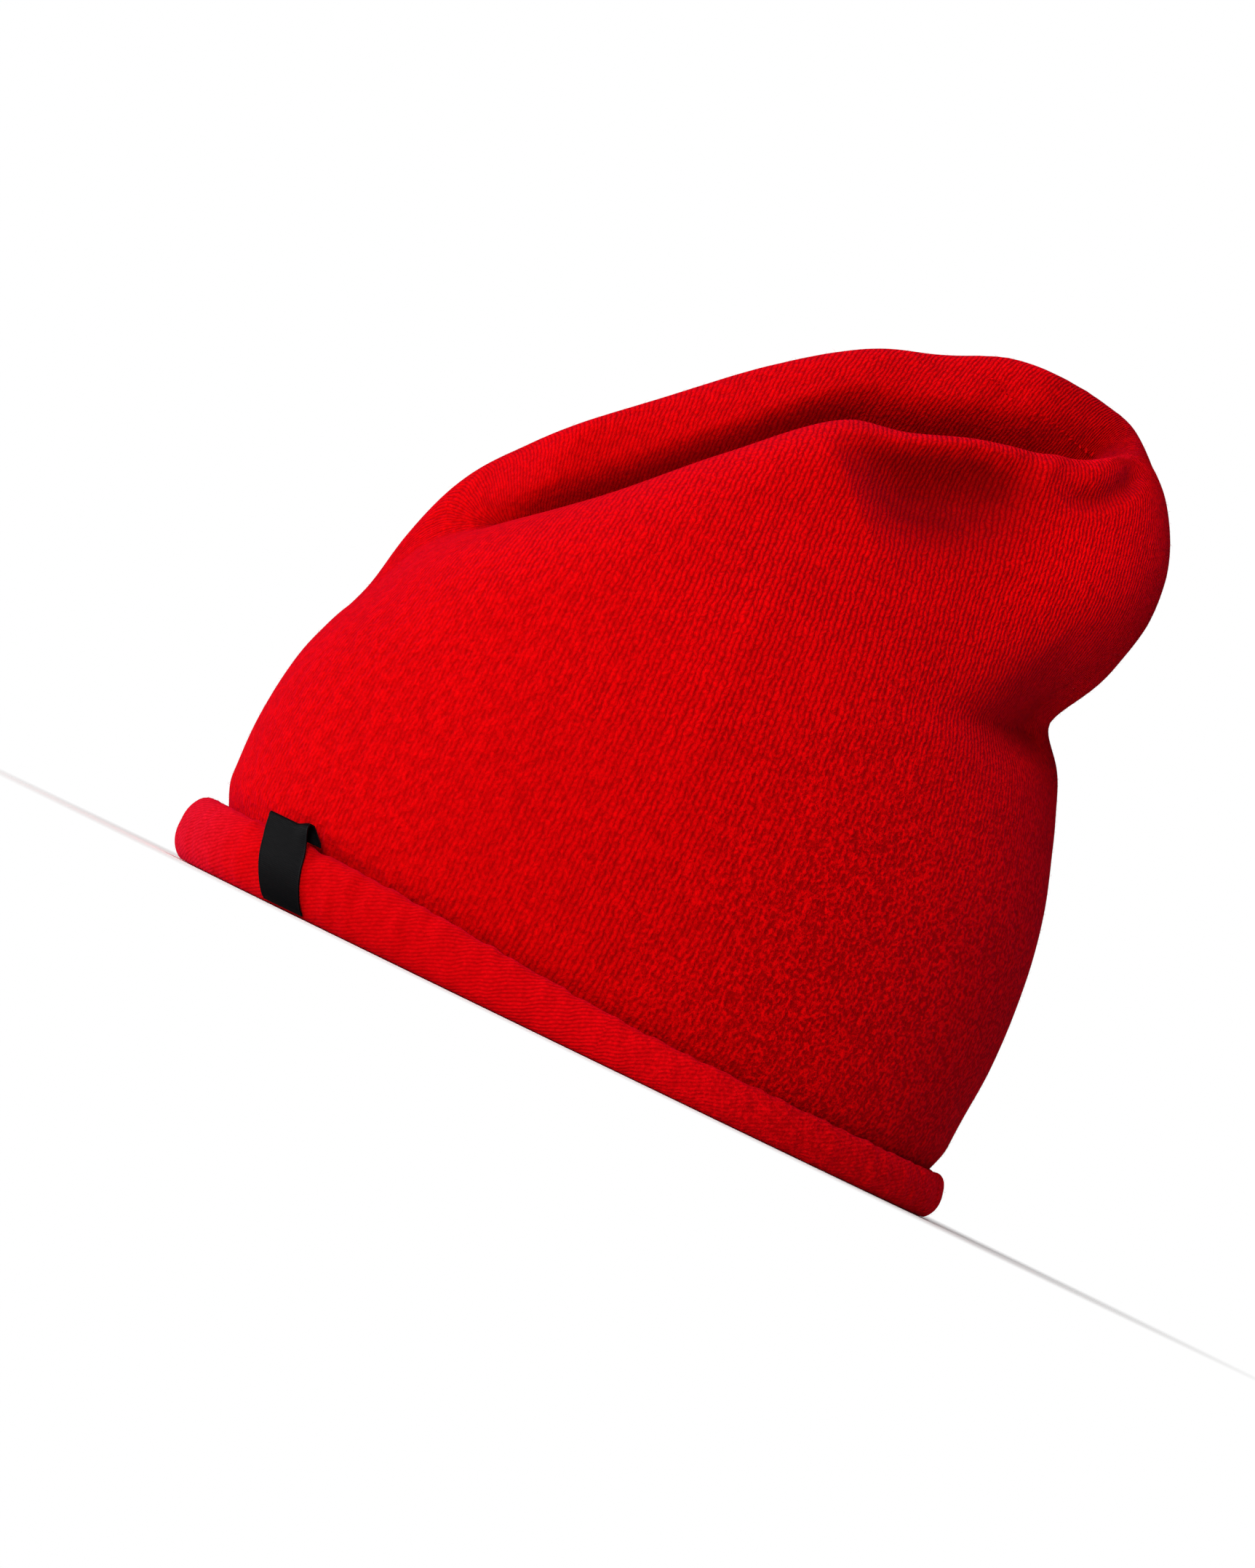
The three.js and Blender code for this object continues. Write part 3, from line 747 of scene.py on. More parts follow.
def reverse_material(yarn, name, slant, along, across):
    """The cloth's reverse, where along and across turn the piece's UV into millimetres. The middle
    of the roll is lighter and its front paler and pinker, both painted light."""
    material, wire, shader = wool_material(name, yarn)
    u, v = wire.flat()
    purl = wire.group(
        once("Purl Ridges", purl_group), Along=u * along, Across=v * across, Slant=slant,
        Pitch=yarn.rib)
    y = wire.axes(wire.place())[1]
    # Painted highlight: the front end of the roll is paler and pinker.
    front = wire.spread(y, -0.09, -0.11)
    # Painted light: the middle of the roll is lighter, in its raised fibres and between them.
    middle = wire.spread(y, -0.08, 0.03) * wire.spread(y, 0.035, 0.07, 1.0, 0.55)
    tip = wire.blend(middle, shade(yarn.turned), shade(yarn.painted_roll_light))
    tip = wire.blend(front, tip, shade(yarn.faded))
    dark = wire.blend(middle, shade(yarn.dark), shade(yarn.painted_roll_light, 0.5))
    wool_colour(
        wire, shader, yarn, dark, tip, wire.out(purl), stitches=0.8, fleece=0.2, pebbles=0.3)
    return material


def fibre_material(yarn):
    material, wire, shader = wool_material("stray wool", yarn)
    share = wire.spread(wire.noise(wire.place(), 330.0), 0.3, 0.7, 0.5, 1.0)
    # The crown's fibres carry its "deep" attribute and take the painted fold shade.
    wool_tone(wire, shader, yarn, wire.blend(share, shade(yarn.dark), shade(yarn.light)))
    return material


WARP, WEFT = 0.00032, 0.00048  # spacing of the ribbon's threads, in metres


def ribbon_material(label):
    """Black woven ribbon: fine crosswise ribs of warp and weft, and firmer selvedges."""
    material, wire, shader = new_material("black ribbon", Specular_IOR_Level=0.03)
    across, along = wire.flat()
    warp, weft = wire.wave(across * (1 / WARP)), wire.wave(along * (1 / WEFT))
    weave = warp * 0.45 + weft * 0.55
    edge = wire.maths("ABSOLUTE", across / label.width - 0.5)
    selvedge = wire.spread(edge, 0.465, 0.485)
    dust = wire.spread(wire.noise(wire.place(), 1500.0, 3.0, 0.6), 0.55, 0.8)
    tone = weave * 0.5 + (selvedge * 0.35 + dust * 0.3)
    wire.put(
        shader, Base_Color=wire.blend(tone, shade(label.colour, 0.6), shade(label.colour, 2.2)),
        Roughness=wire.spread(weave, 0.0, 1.0, 0.62, 0.42))
    wire.bump(shader, strength=0.6, distance=0.00012, height=weave + selvedge)
    return material


# ---- properties ----
def colour(name, description, value):
    return FloatVectorProperty(
        name=name, description=description, subtype="COLOR", size=3, min=0, max=1, default=value)


def number(name, description, value, low, high, **kind):
    return FloatProperty(
        name=name, description=description, default=value, min=low, max=high, **kind)


def length(name, description, value, low, high):
    return number(
        name, description, value, low, high, subtype="DISTANCE", unit="LENGTH", precision=5)


def angle(name, description, degrees, low=0, high=1.5):
    return number(
        name, description, math.radians(degrees), low, high, subtype="ANGLE", unit="ROTATION")


def power(name, description, watts):
    return number(name, description, watts, 0, 2000, subtype="POWER", unit="POWER")


def whole(name, description, value, low, high=9999):
    return IntProperty(name=name, description=description, default=value, min=low, max=high)


class YarnProperties(PropertyGroup):
    light: colour("Light Yarn", "Colour of the yarn's raised fibres", (0.7, 0.0003, 0.001))
    dark: colour("Dark Yarn", "Colour between the stitches", (0.28, 0.0002, 0.0004))
    turned: colour("Turned Yarn", "Raised fibres on the cloth's reverse", (0.74, 0.0008, 0.003))
    # Painted light along the middle of the roll.
    painted_roll_light: colour("Worn Yarn", "Raised fibres along the middle of the roll", (0.9, 0.001, 0.004))
    # Painted highlight at the front of the roll.
    faded: colour("Faded Yarn", "Raised fibres at the front of the roll", (0.76, 0.007, 0.026))
    # Strength of the painted shade in folds.
    depth: number("Depth", "How much darker the cloth is deep in a fold", 0.65, 0, 1)
    bloom: colour("Bloom", "Tint of the soft bloom on the wool", (0.9, 0.001, 0.07))
    sheen: number("Sheen", "Strength of the bloom", 0.25, 0, 1)
    wales: number("Wales", "Columns of stitches round the hat", 205, 60, 600)
    course: number("Course", "Height of one row of stitches, in millimetres", 1.75, 0.5, 6)
    rib: number("Reverse Ridge", "Spacing of the reverse's ridges, in millimetres", 1.05, 0.5, 6)
    relief: length("Relief", "Depth of the stitches", 0.0006, 0, 0.003)
    strength: number("Relief Strength", "How strongly the relief turns the surface", 0.8, 0, 1)


class CrownProperties(PropertyGroup):
    columns: whole("Columns", "Mesh columns round the crown", 360, 48, 720)
    rows: whole("Rows", "Mesh rows on the outer face", 190, 24, 400)
    inner_rows: whole("Inner Rows", "Mesh rows on the inner face", 56, 12, 200)
    wall: length("Wall", "Thickness of the knit", 0.002, 0.0008, 0.006)


class HemProperties(PropertyGroup):
    columns: whole("Columns", "Mesh columns round the hem", 480, 48, 960)
    wall: length("Wall", "Thickness of the rolled cloth", 0.002, 0.0008, 0.004)
    slender: number("Slenderness", "Width of the roll for its height", 0.7, 0.4, 1)
    lumps: length("Lumps", "Unevenness of the roll's outer face", 0.0003, 0, 0.001)
    slant: angle("Slant", "Angle of the ridges to the rim", 25)


class FibreProperties(PropertyGroup):
    crown_density: number("Crown Density", "Fibres on a square metre of crown", 160000, 0, 500000)
    hem_density: number("Hem Density", "Fibres on a square metre of hem", 200000, 0, 800000)
    length: length("Length", "Length of a long fibre", 0.0017, 0.0003, 0.006)
    thickness: length("Thickness", "Width of a fibre at its root", 0.00006, 0.00001, 0.0005)
    lean: angle("Lean", "How far fibres lean from upright", 62)
    seed: whole("Seed", "Changes where the fibres stand", 7, 0)


class SeamProperties(PropertyGroup):
    stitch: length("Stitch", "Length of one closing stitch", 0.0026, 0.001, 0.006)
    spacing: length("Spacing", "Distance between stitches", 0.0019, 0.0008, 0.006)
    seed: whole("Seed", "Changes how the stitches pull", 3, 0)


class LabelProperties(PropertyGroup):
    colour: colour("Ribbon", "Colour of the ribbon", (0.0014, 0.0014, 0.0018))
    width: length("Width", "Width of the ribbon along the rim", 0.015, 0.005, 0.04)
    thickness: length("Thickness", "Thickness of the ribbon", 0.0005, 0.0002, 0.001)
    curl: length("Curl", "How far the free upper corner lifts", 0.0016, 0, 0.004)


class StageProperties(PropertyGroup):
    floor: length("Floor", "Radius of the floor", 0.34, 0.2, 50)
    clear: length("Plain Floor", "Distance within which the floor shows plainly", 0.12, 0, 5)
    white: length("White Floor", "Distance beyond which the floor is white", 0.24, 0.1, 10)
    key: power("Key Light", "Power of the main light, on the wearer's left", 30)
    front: power("Front Light", "Power of the light ahead of the forehead", 13)
    rim: power("Rim Light", "Power of the light beyond the forehead", 30)
    low: power("Low Light", "Power of the low light behind the camera", 16)
    overhead: power("Overhead Light", "Power of the light over the hat", 22)
    back: power("Back Light", "Power of the light behind the hat", 6)
    ambient: number("Surroundings", "Brightness of the pale surroundings", 0.05, 0, 2)
    distance: length("Camera Distance", "From the camera to the middle of the hat", 5, 0.5, 10)
    camera_height: length("Camera Height", "Height of the camera over the floor", 0.03, 0.01, 2)
    view_height: length("View Height", "Length across the tall side of the view", 0.4096, 0.1, 2)
    tilt: angle("Camera Roll", "Turn of the camera about its line of sight", 25.8, -3.14, 3.14)


class BeanieProperties(PropertyGroup):
    yarn: PointerProperty(type=YarnProperties)
    crown: PointerProperty(type=CrownProperties)
    hem: PointerProperty(type=HemProperties)
    fibres: PointerProperty(type=FibreProperties)
    seam: PointerProperty(type=SeamProperties)
    label: PointerProperty(type=LabelProperties)
    stage: PointerProperty(type=StageProperties)


# ---- crown ----
def crown_faces(count, rows, start):
    """Faces of one wall: rings from the lower edge up, and the strip that closes the valley."""
    rings = start + np.arange(rows) * count
    quads = np.concatenate([strip(ring, ring + count, count) for ring in rings[:-1]])
    top = rings[-1]
    i = np.arange(count // 2) - count // 4
    right = [top + i % count, top + (i + 1) % count]
    left = [top + (count // 2 - i - 1) % count, top + (count // 2 - i) % count]
    close = np.stack(right + left, -1)
    return [*quads, close[0, :3], *close[1:-1], close[-1, [0, 1, 3]]]


def build_crown(hat):
    crown, yarn = hat.crown, hat.yarn
    count = crown.columns
    outer, along = wales(count, crown.rows)
    picked = np.round(np.linspace(0, crown.rows - 1, crown.inner_rows)).astype(int)
    # Painted shade for the folds, kept as the "deep" attribute.
    deep = painted_fold_shade(outer)
    inner = lean_over(outer[picked] - outward(outer[picked]) * (crown.wall / MM))
    outer = lean_over(outer)
    shift = crown.rows * count
    outside = crown_faces(count, crown.rows, 0)
    inside = [face[::-1] for face in crown_faces(count, crown.inner_rows, shift)]
    item = add_mesh(
        "crown_knit", np.concatenate([outer.reshape(-1, 3), inner.reshape(-1, 3)]),
        [*outside, *inside, *strip(shift, 0, count)],
        knit_material(yarn), reverse_material(yarn, "red knit inside", 0.0, GIRTH, 1000.0))
    mesh = item.data

    # U runs once round the hat, and past 1 on the faces that close the turn.
    turn = np.tile(np.arange(count) / count, crown.rows + crown.inner_rows)
    travel = np.concatenate([along.ravel(), along[picked].ravel()])
    corner = corner_vertices(mesh)
    sizes = np.empty(len(mesh.polygons), int)
    mesh.polygons.foreach_get("loop_total", sizes)
    owner = np.repeat(np.arange(len(sizes)), sizes)
    u = turn[corner]
    widest = np.zeros(len(sizes))
    np.maximum.at(widest, owner, u)
    u = np.where((widest[owner] > 0.6) & (u < 0.4), u + 1, u)
    set_uv(mesh, u, travel[corner] * MM)

    is_outside = np.arange(len(sizes)) < len(outside)
    mesh.polygons.foreach_set("material_index", np.where(is_outside, 0, 1).astype(np.int32))
    set_values(mesh, "outside", "BOOLEAN", "FACE", is_outside)

    # How many times the stitches halve in number to keep their width where the cloth gathers.
    spacing = np.linalg.norm(np.roll(outer, -1, axis=1) - outer, axis=-1) * count / yarn.wales
    gather = np.clip(np.log2(WALE / np.maximum(spacing, 0.02)), 0, 6)
    within = np.zeros(crown.inner_rows * count)
    for name, values in (("gather", gather), ("deep", deep), ("stretched", bulge_painted_light(outer))):
        values = np.concatenate([values.ravel(), within]).astype(np.float32)
        set_values(mesh, name, "FLOAT", "POINT", values)
    return item


# ---- rolled hem ----
def roll_line(angle, width, height, wall):
    """The middle line of the rolled cloth across the rim: outward, then up. Past 45 degrees it
    winds inwards."""
    shrink = 0.24 * height * ease((angle - 45) / 95)
    turn = np.radians(angle)
    n = (width / 2 - wall / 2 - shrink) * np.cos(turn)
    z = height / 2 + (height / 2 - wall / 2 - shrink) * np.sin(turn)
    return np.stack([n, z - ROLL_SUNK], -1)


def rim_normal(point):
    return rising(lambda x, y, z: side_wall(x, y, 0 * z), point, 0.25)


def rim_points(count):
    """Places round the rim, closer together at its narrower ends, with the outward direction."""
    turn = round_turn(count)
    way = unit(np.stack([HALF_WIDTH * np.cos(turn), HALF_LENGTH * np.sin(turn), 0 * turn], -1))
    probe = 10.0
    inset = -side_wall(way[:, 0] * probe, CENTRE_Y + way[:, 1] * probe, 0.0)
    point = way * (probe + inset)[:, None] + [0, CENTRE_Y, 0]
    return point, rim_normal(point)


def build_hem(hat):
    hem = hat.hem
    count, wall = hem.columns, hem.wall / MM
    point, normal = rim_points(count)
    height = roll_height(point[:, 1])[:, None]
    width = hem.slender * height
    angle = np.arange(-180.0, 181.0, 7.5)[None, :]
    middle = roll_line(angle, width, height, wall)
    run = unit(
        roll_line(angle + 1, width, height, wall) - roll_line(angle - 1, width, height, wall))
    out = np.stack([run[..., 1], -run[..., 0]], -1) * wall / 2
    distance = running(np.linalg.norm(np.roll(point, -1, axis=0) - point, axis=-1))
    lump = np.zeros_like(middle[..., 0])
    for waves, drift, phase in LUMPS:
        turn = 2 * np.pi * waves * distance[:-1, None] / distance[-1]
        lump += np.sin(turn + drift * np.radians(angle) + phase) / 2.4
    open_side = ease((angle + 80) / 40) * ease((100 - angle) / 40)
    face = middle + out * (1 + lump * open_side * (hem.lumps / MM) / (wall / 2))[..., None]
    face[..., 1] = np.maximum(face[..., 1], 0)
    section = np.concatenate([face, (middle - out)[:, ::-1]], 1)
    points = point[:, None, :] + normal[:, None, :] * section[..., :1]
    points[..., 2] = section[..., 1]
    parts = section.shape[1]
    faces = [strip(k * count, (k + 1) % parts * count, count) for k in range(parts)]
    item = add_mesh(
        "hem_roll", points.transpose(1, 0, 2).reshape(-1, 3), np.concatenate(faces),
        reverse_material(hat.yarn, "red knit reverse", hem.slant, 1000.0, 1000.0))

    # U runs along the rim and V round the roll, for the four corners of each face.
    travel = running(np.linalg.norm(np.diff(section, axis=1, append=section[:, :1]), axis=-1))
    k, i = np.repeat(np.arange(parts), count), np.tile(np.arange(count), parts)
    j = (i + 1) % count
    u = np.stack([distance[i], distance[i + 1], distance[i + 1], distance[i]], -1)
    v = np.stack([travel[i, k], travel[j, k], travel[j, k + 1], travel[i, k + 1]], -1)
    set_uv(item.data, u.ravel() * MM, v.ravel() * MM)
    outside = np.zeros(parts, bool)
    outside[:angle.size - 1] = (angle[0, :-1] > -75) & (angle[0, :-1] < 110)
    set_values(item.data, "outside", "BOOLEAN", "FACE", np.repeat(outside, count))
    return item


# ---- geometry node trees ----
def geometry_tree(name, inputs):
    """The wiring of a new geometry tree that takes a mesh, with named inputs."""
    mesh = {"Geometry": "Geometry"}
    return new_group(name, "GeometryNodeTree", {**mesh, **inputs}, mesh)


def grow(name, source, tree, values):
    """Runs a geometry tree on a copy of the source's mesh and keeps the result as a plain mesh."""
    carrier = link(name + "_source", source.data.copy())
    modifier = carrier.modifiers.new("Grow", "NODES")
    modifier.node_group = tree
    for socket in tree.interface.items_tree:
        if socket.in_out == "INPUT" and socket.name in values:
            modifier[socket.identifier] = values[socket.name]
    shown = carrier.evaluated_get(bpy.context.evaluated_depsgraph_get())
    mesh = bpy.data.meshes.new_from_object(shown)
    carrier.modifiers.remove(modifier)
    used = carrier.data
    bpy.data.objects.remove(carrier)
    bpy.data.meshes.remove(used)
    mesh.name = name
    if not mesh.polygons:
        raise RuntimeError(name + " came out empty")
    return link(name, mesh)


FULL_TURN = 6.2832


def fibre_tree(name):
    """Short bent fibres that stand on the faces marked outside."""
    inputs = {
        "Density": "Float", "Length": "Float", "Thickness": "Float", "Lean": "Float",
        "Seed": "Int", "Wool": "Material"}
    wire = geometry_tree(name, inputs)
    mesh, density, length, thickness, lean, seed, wool = wire.take("Geometry", *inputs)
    scatter = wire.add("GeometryNodeDistributePointsOnFaces", distribute_method="RANDOM")
    wire.put(
        scatter, Mesh=mesh, Density=density, Seed=seed, Selection=wire.named("outside", "BOOLEAN"))
    spike = wire.put(
        wire.add("GeometryNodeMeshCone", fill_type="NGON"), Vertices=3, Side_Segments=2,
        Fill_Segments=1, Radius_Top=0.0, Radius_Bottom=thickness * 0.5, Depth=length)
    x, y, z = wire.axes(wire.value("GeometryNodeInputPosition"))
    bend, root = 0.9, 0.08  # how far the tip leans over and how deep the root sits, in lengths
    bent = wire.vector(x + z * z * bend / length, y, z - length * root)
    curved = wire.value("GeometryNodeSetPosition", Geometry=wire.out(spike), Position=bent)
    tip = wire.vector(0.0, lean * wire.random(0.25, 1.0, seed + 1.0), 0.0)
    spin = wire.vector(0.0, 0.0, wire.random(0.0, FULL_TURN, seed + 2.0))
    size = wire.vector(1.0, 1.0, wire.random(0.4, 1.0, seed + 3.0))
    turned = wire.turned(wire.turned(wire.out(scatter, "Rotation"), spin), tip)
    return wire.give_pieces(
        wool, Points=wire.out(scatter, "Points"), Instance=curved, Rotation=turned, Scale=size)


def stitch_tree(name):
    """Short plump stitches across a path that carries its outward and forward directions."""
    inputs = {"Stitch": "Float", "Spacing": "Float", "Seed": "Int", "Wool": "Material"}
    wire = geometry_tree(name, inputs)
    mesh, stitch, spacing, seed, wool = wire.take("Geometry", *inputs)
    path = wire.value("GeometryNodeMeshToCurve", Mesh=mesh)
    even = wire.put(
        wire.add("GeometryNodeResampleCurve", mode="LENGTH"), Curve=path, Length=spacing)
    facing = wire.add("FunctionNodeAxesToRotation", primary_axis="Z", secondary_axis="Y")
    facing = wire.fill(
        facing, wire.named("up", "FLOAT_VECTOR"), wire.named("run", "FLOAT_VECTOR"))
    turned = wire.turned(facing, wire.vector(0.0, 0.0, wire.random(-0.55, 0.15, seed)))
    bead = wire.value("GeometryNodeMeshUVSphere", Segments=8, Rings=6, Radius=stitch * 0.5)
    drawn = wire.value("GeometryNodeTransform", Geometry=bead, Scale=(1.0, 0.3, 0.26))
    size = wire.random(0.75, 1.2, seed + 1.0)
    return wire.give_pieces(
        wool, Points=wire.out(even), Instance=drawn, Rotation=turned, Scale=size)


# ---- stray fibres and top seam ----
def build_fibres(hat):
    fibres = hat.fibres
    shared = {
        "Length": fibres.length, "Thickness": fibres.thickness, "Lean": fibres.lean,
        "Wool": fibre_material(hat.yarn)}
    tree = once("Stray Fibres", fibre_tree)
    crown = {**shared, "Density": fibres.crown_density, "Seed": fibres.seed}
    hem = {**shared, "Density": fibres.hem_density, "Seed": fibres.seed + 10}
    return (
        grow("crown_fuzz", bpy.data.objects["crown_knit"], tree, crown),
        grow("hem_fuzz", bpy.data.objects["hem_roll"], tree, hem))


def seam_path():
    """Points of the closing seam on the cloth, from front to back."""
    y = np.linspace(30, 62, 65)
    z = read(SEAM, 1, y)
    ridge, valley = read(RIDGES, RIGHT_X, y), read(RIDGES, VALLEY_X, y)
    x = halve(ridge, valley, lambda x: cloth(x, y, z) < 0, 30)
    return lean_over(np.stack([x, y, z], -1))


def build_seam(hat):
    seam = hat.seam
    points = seam_path()
    up = outward(points)
    mesh = bpy.data.meshes.new("seam_path")
    edges = [(i, i + 1) for i in range(len(points) - 1)]
    lift = 0.15  # the thread lies on the cloth
    mesh.from_pydata(((points + up * lift) * MM).tolist(), edges, [])
    set_values(mesh, "up", "FLOAT_VECTOR", "POINT", up)
    set_values(mesh, "run", "FLOAT_VECTOR", "POINT", unit(np.gradient(points, axis=0)))
    path = bpy.data.objects.new("seam_path", mesh)
    item = grow("top_seam", path, once("Seam Stitches", stitch_tree), {
        "Stitch": seam.stitch, "Spacing": seam.spacing, "Seed": seam.seed,
        "Wool": fibre_material(hat.yarn)})
    bpy.data.objects.remove(path)
    bpy.data.meshes.remove(mesh)
    item.data.shade_smooth()
    return item


# ---- label ----
def rim_at(y):
    """The place on the left of the rim at this distance from front to back."""
    share = abs(y - CENTRE_Y) / abs(OUTLINES[0, FRONT] - CENTRE_Y)
    x = OUTLINES[0, LEFT] * (1 - share ** ROUNDNESS) ** (1 / ROUNDNESS)
    point = np.array([[x, y, 0.0]])
    return point[0], rim_normal(point)[0]


def ribbon_line(height, stand, count):
    """The ribbon's middle line: up the face of the roll, over a sharp fold and down behind."""
    width = 0.7 * height
    turn = np.radians([-56, -44, -32, -20, -8, 4, 16, 26])
    rise = height / 2 - ROLL_SUNK + (height / 2 + stand) * np.sin(turn)
    face = np.stack([(width / 2 + stand) * np.cos(turn), np.maximum(rise, 0.6)], -1)
    line = np.concatenate([face, LABEL_FOLD + [width / 2, LABEL_TOP]])
    travel = running(np.linalg.norm(np.diff(line, axis=0), axis=-1))
    table = np.column_stack([travel, line])
    at = np.linspace(0, travel[-1], count)
    return np.stack([read(table, 1, at), read(table, 2, at)], -1), at


def build_label(hat):
    label = hat.label
    width, thick = label.width / MM, label.thickness / MM
    stations, count = 33, 72
    facing = rim_at(LABEL_Y)[1]
    front, back, travel = [], [], []
    shares = np.linspace(0, 1, stations)
    for s in shares:
        point, normal = rim_at(LABEL_Y + width * facing[0] * (s - 0.5))
        line, at = ribbon_line(roll_height(point[1]), LABEL_STAND + thick / 2, count)
        past = ease((at - at[-1] + 3.6) / 3.2)
        lift = label.curl / MM * ease((s - 0.62) / 0.38) * bell((at - at[-1] + 4.6) / 3.2)
        run = unit(np.gradient(line, axis=0))
        out = np.stack([run[:, 1], -run[:, 0]], -1)
        line = line + out * lift[:, None]
        tangent = np.array([-normal[1], normal[0], 0.0])
        narrowed = LABEL_TAPER * (0.5 - s) * ease(1 - line[:, 1] / LABEL_TOP)
        shift = LABEL_SLANT * (0.5 - line[:, 1] / LABEL_TOP) + narrowed + LABEL_SKEW * past
        for side, rows in ((0.5, front), (-0.5, back)):
            face = line + out * thick * side
            place = point + normal * face[:, :1] + tangent * shift[:, None]
            place[:, 2] = face[:, 1]
            rows.append(place)
        travel.append(at)
    rings = np.concatenate([np.array(front), np.array(back)[:, ::-1]], 1)
    ring = rings.shape[1]
    steps = range(stations - 1)
    faces = [*np.concatenate([np.roll(strip((s + 1) * ring, s * ring, ring), 1, 1) for s in steps])]
    far = (stations - 1) * ring
    for k in range(count - 1):
        m = ring - 1 - k
        faces += [(k, k + 1, m - 1, m), (far + k, far + m, far + m - 1, far + k + 1)]
    item = add_mesh("ribbon_label", rings.reshape(-1, 3), faces, ribbon_material(label))
    item.data.set_sharp_from_angle(angle=math.radians(50))
    corner = corner_vertices(item.data)
    across = np.repeat(shares * width, ring)
    along = np.concatenate([np.array(travel), np.array(travel)[:, ::-1]], 1).ravel()
    set_uv(item.data, across[corner] * MM, along[corner] * MM)
    return item


# ---- stage ----
FLOOR_Z = -0.2  # in millimetres, just under the rim
LIGHT_SIZE, LIGHT_DISTANCE, LIGHT_AIM = 0.8, 2.2, 0.09  # metres
LIGHTS = (  # azimuth 0 is the wearer's left and 90 the forehead, then the elevation
    ("key", 30, 16), ("front", 80, 4), ("rim", 100, 12), ("low", 0, -12), ("overhead", 0, 90),
    ("back", -28, 34))
CAMERA_AIM = Vector((0, -0.0101, 0.0683))
WHITE = (1, 1, 1, 1)


def add_light(name, azimuth, elevation, watts):
    """A square soft light aimed at the hat."""
    turn, rise = math.radians(azimuth), math.radians(elevation)
    way = Vector((
        math.cos(turn) * math.cos(rise), -math.sin(turn) * math.cos(rise), math.sin(rise)))
    lamp = bpy.data.lights.new(name, "AREA")
    lamp.shape = "SQUARE"
    lamp.size = LIGHT_SIZE
    lamp.energy = watts
    item = link(name, lamp)
    item.location = Vector((0, 0, LIGHT_AIM)) + way * LIGHT_DISTANCE
    item.rotation_mode = "QUATERNION"
    item.rotation_quaternion = (-way).to_track_quat("-Z", "Y")
    item.visible_camera = False


def floor_material(clear, white):
    """A pale floor that fades into the white surroundings between these distances."""
    material, wire, shader = new_material("pale floor", Roughness=0.9, Specular_IOR_Level=0.1)
    place = wire.place()
    cloudy = wire.noise(place, 3.0, 4.0, 0.6)
    wire.put(shader, Base_Color=wire.blend(cloudy, shade((0.84,) * 3), shade((0.87,) * 3)))
    away = wire.add("ShaderNodeVectorMath", operation="LENGTH")
    away = wire.out(wire.put(away, Vector=place), "Value")
    glow = wire.value("ShaderNodeEmission", Strength=1.0)
    seen = wire.value("ShaderNodeLightPath", "Is Camera Ray")
    faded = wire.blend_shaders(wire.spread(away, clear, white) * seen, wire.out(shader), glow)
    ending = next(n for n in material.node_tree.nodes if n.type == "OUTPUT_MATERIAL")
    wire.put(ending, Surface=faded)
    return material


def pale_world(ambient):
    """White to the camera, and as bright as ambient for the hat and the floor."""
    world = bpy.data.worlds.new("pale surroundings")
    world.use_nodes = True
    wire = Wiring(world.node_tree)
    plain = next(n for n in world.node_tree.nodes if n.type == "BACKGROUND")
    ending = next(n for n in world.node_tree.nodes if n.type == "OUTPUT_WORLD")
    wire.put(plain, Color=WHITE, Strength=ambient)
    seen = wire.value("ShaderNodeBackground", Color=WHITE, Strength=1.0)
    share = wire.value("ShaderNodeLightPath", "Is Camera Ray")
    wire.put(ending, Surface=wire.blend_shaders(share, wire.out(plain), seen))
    bpy.context.scene.world = world


def build_floor(stage):
    count = 96
    turn = round_turn(count)
    rings = [(0, 0, FLOOR_Z)]
    for share in (0.25, 0.5, 0.75, 1.0):
        radius = stage.floor / MM * share
        rings += [(radius * math.cos(t), radius * math.sin(t), FLOOR_Z) for t in turn]
    faces = [(0, 1 + i, 1 + (i + 1) % count) for i in range(count)]
    for k in range(3):
        faces += [*strip(1 + (k + 1) * count, 1 + k * count, count)]
    return add_mesh("floor", rings, faces, floor_material(stage.clear, stage.white))


def build_stage(stage):
    floor = build_floor(stage)
    for name, azimuth, elevation in LIGHTS:
        add_light(name, azimuth, elevation, getattr(stage, name))
    pale_world(stage.ambient)

    lens = bpy.data.cameras.new("camera")
    lens.sensor_width = 36
    lens.lens = stage.distance * lens.sensor_width / stage.view_height
    lens.clip_start, lens.clip_end = 0.05, 100
    camera = link("camera", lens)
    camera.location = (stage.distance, CAMERA_AIM.y, stage.camera_height)
    camera.rotation_mode = "QUATERNION"
    level = (CAMERA_AIM - camera.location).to_track_quat("-Z", "Y")
    camera.rotation_quaternion = level @ Quaternion((0, 0, 1), stage.tilt)
    bpy.context.scene.camera = camera
    bpy.context.scene.view_settings.view_transform = "Standard"


# ---- operators ----
class BEANIE_OT_crown(Operator):
    """Builds the knitted crown"""

    bl_idname = "beanie.crown"
    bl_label = "Crown"

    def execute(self, context):
        item = build_crown(context.scene.beanie)
        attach(item, "root")
        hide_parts("crown")
        return {"FINISHED"}


class BEANIE_OT_rolled_hem(Operator):
    """Builds the rolled hem"""

    bl_idname = "beanie.rolled_hem"
    bl_label = "Rolled Hem"

    def execute(self, context):
        item = build_hem(context.scene.beanie)
        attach(item, "root")
        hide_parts("rolled_hem")
        return {"FINISHED"}


class BEANIE_OT_top_seam(Operator):
    """Lays the stitches of the closing seam in the valley of the slack top"""

    bl_idname = "beanie.top_seam"
    bl_label = "Top Seam"

    def execute(self, context):
        item = build_seam(context.scene.beanie)
        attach(item, "root")
        return {"FINISHED"}


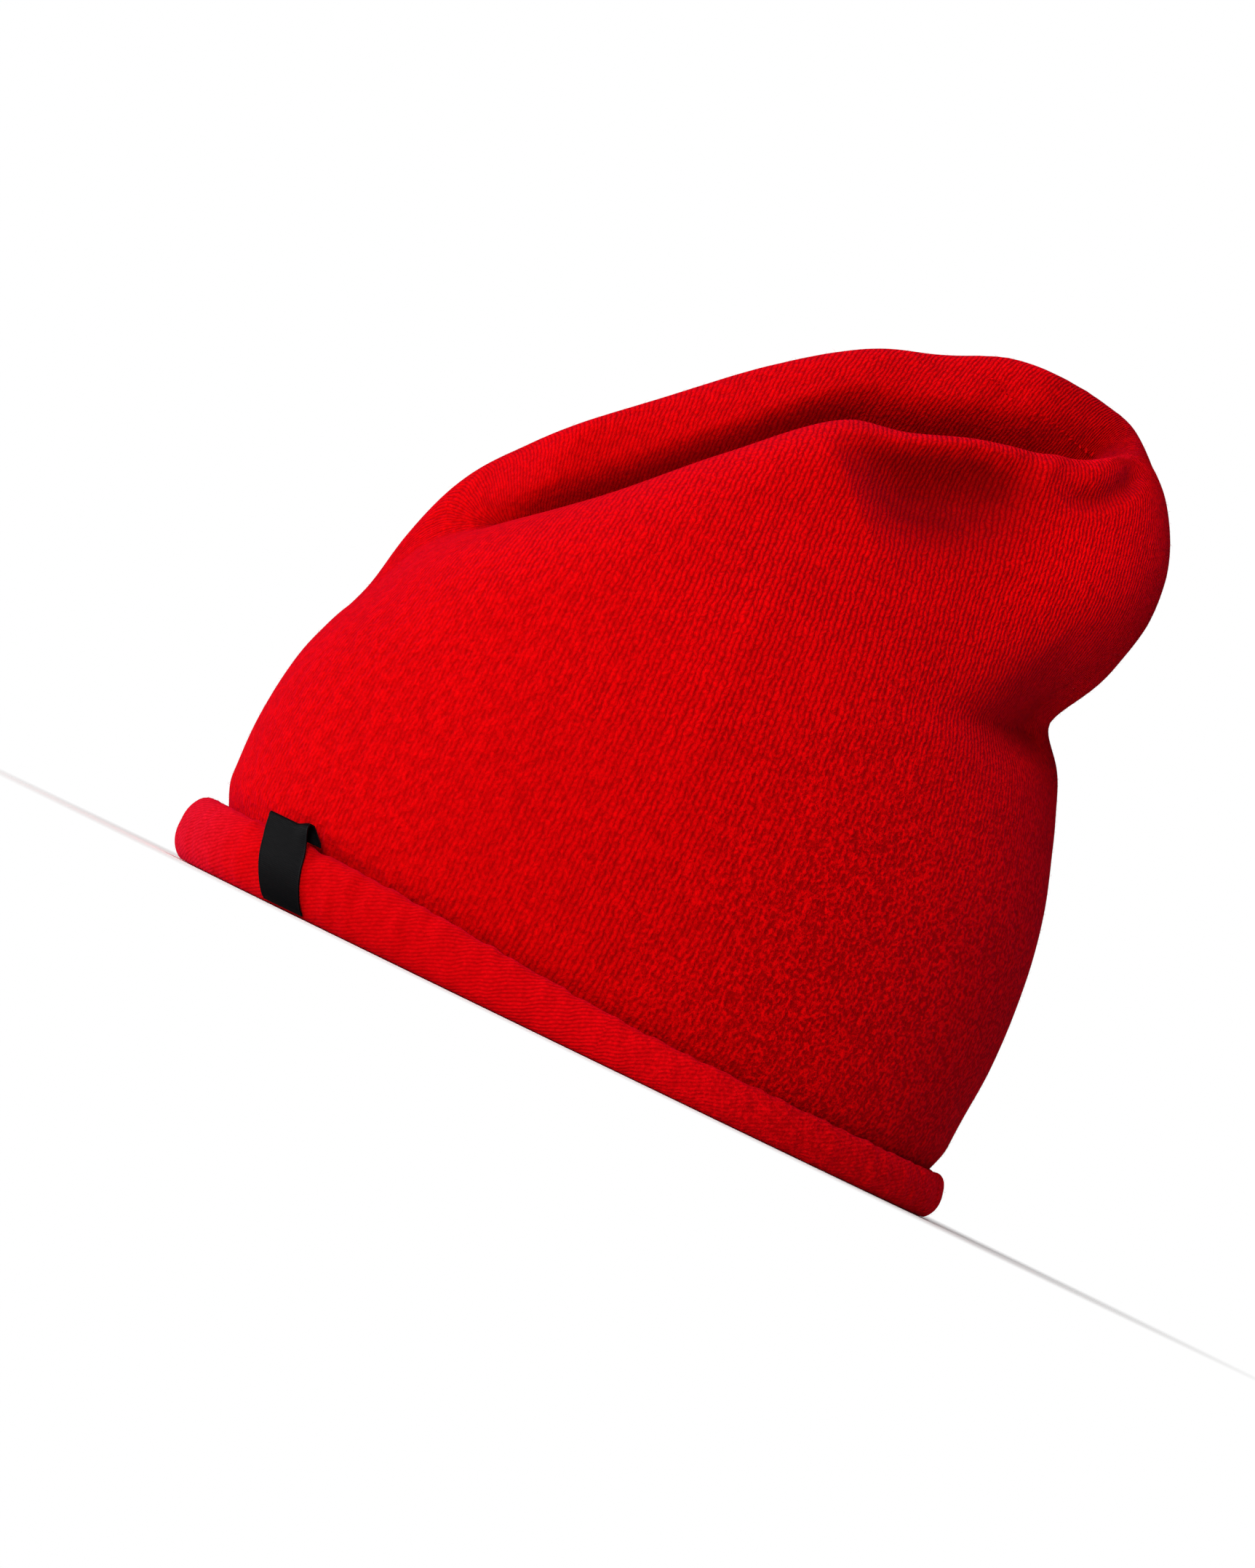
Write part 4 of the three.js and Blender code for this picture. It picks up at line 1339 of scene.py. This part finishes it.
class BEANIE_OT_label(Operator):
    """Builds the folded ribbon label"""

    bl_idname = "beanie.label"
    bl_label = "Ribbon Label"

    def execute(self, context):
        item = build_label(context.scene.beanie)
        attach(item, "root")
        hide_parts("label")
        return {"FINISHED"}


class BEANIE_OT_stray_fibres(Operator):
    """Grows the wool's stray fibres on the crown and the hem"""

    bl_idname = "beanie.stray_fibres"
    bl_label = "Stray Fibres"

    def execute(self, context):
        crown, hem = build_fibres(context.scene.beanie)
        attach(crown, "root")
        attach(hem, "root")
        return {"FINISHED"}


class BEANIE_OT_stage(Operator):
    """Lays the floor and sets up the lights and the camera"""

    bl_idname = "beanie.stage"
    bl_label = "Stage"

    def execute(self, context):
        build_stage(context.scene.beanie.stage)
        return {"FINISHED"}


PARTS = ("yarn", "crown", "hem", "fibres", "seam", "label", "stage")
STEPS = ("crown", "rolled_hem", "top_seam", "label", "stray_fibres", "stage")


class BEANIE_PT_panel(Panel):
    """The hat's sizes and colours, and the steps that build it"""

    bl_label = "Knitted Beanie"
    bl_idname = "BEANIE_PT_panel"
    bl_space_type = "VIEW_3D"
    bl_region_type = "UI"
    bl_category = "Beanie"

    def draw(self, context):
        for step in STEPS:
            self.layout.operator("beanie." + step)
        for name in PARTS:
            box = self.layout.box()
            box.label(text=name.title())
            part = getattr(context.scene.beanie, name)
            for field in part.bl_rna.properties:
                if field.identifier not in {"rna_type", "name"}:
                    box.prop(part, field.identifier)


CLASSES = (
    YarnProperties, CrownProperties, HemProperties, FibreProperties, SeamProperties,
    LabelProperties, StageProperties, BeanieProperties, BEANIE_OT_crown, BEANIE_OT_rolled_hem,
    BEANIE_OT_top_seam, BEANIE_OT_label, BEANIE_OT_stray_fibres, BEANIE_OT_stage,
    BEANIE_PT_panel,
)


def register():
    for item in CLASSES:
        bpy.utils.register_class(item)
    bpy.types.Scene.beanie = PointerProperty(type=BeanieProperties)


def unregister():
    del bpy.types.Scene.beanie
    for item in reversed(CLASSES):
        bpy.utils.unregister_class(item)


def main():
    register()
    bpy.ops.beanie.crown()
    bpy.ops.beanie.rolled_hem()
    bpy.ops.beanie.top_seam()
    bpy.ops.beanie.label()
    bpy.ops.beanie.stray_fibres()
    bpy.ops.beanie.stage()


if __name__ == "__main__":
    main()
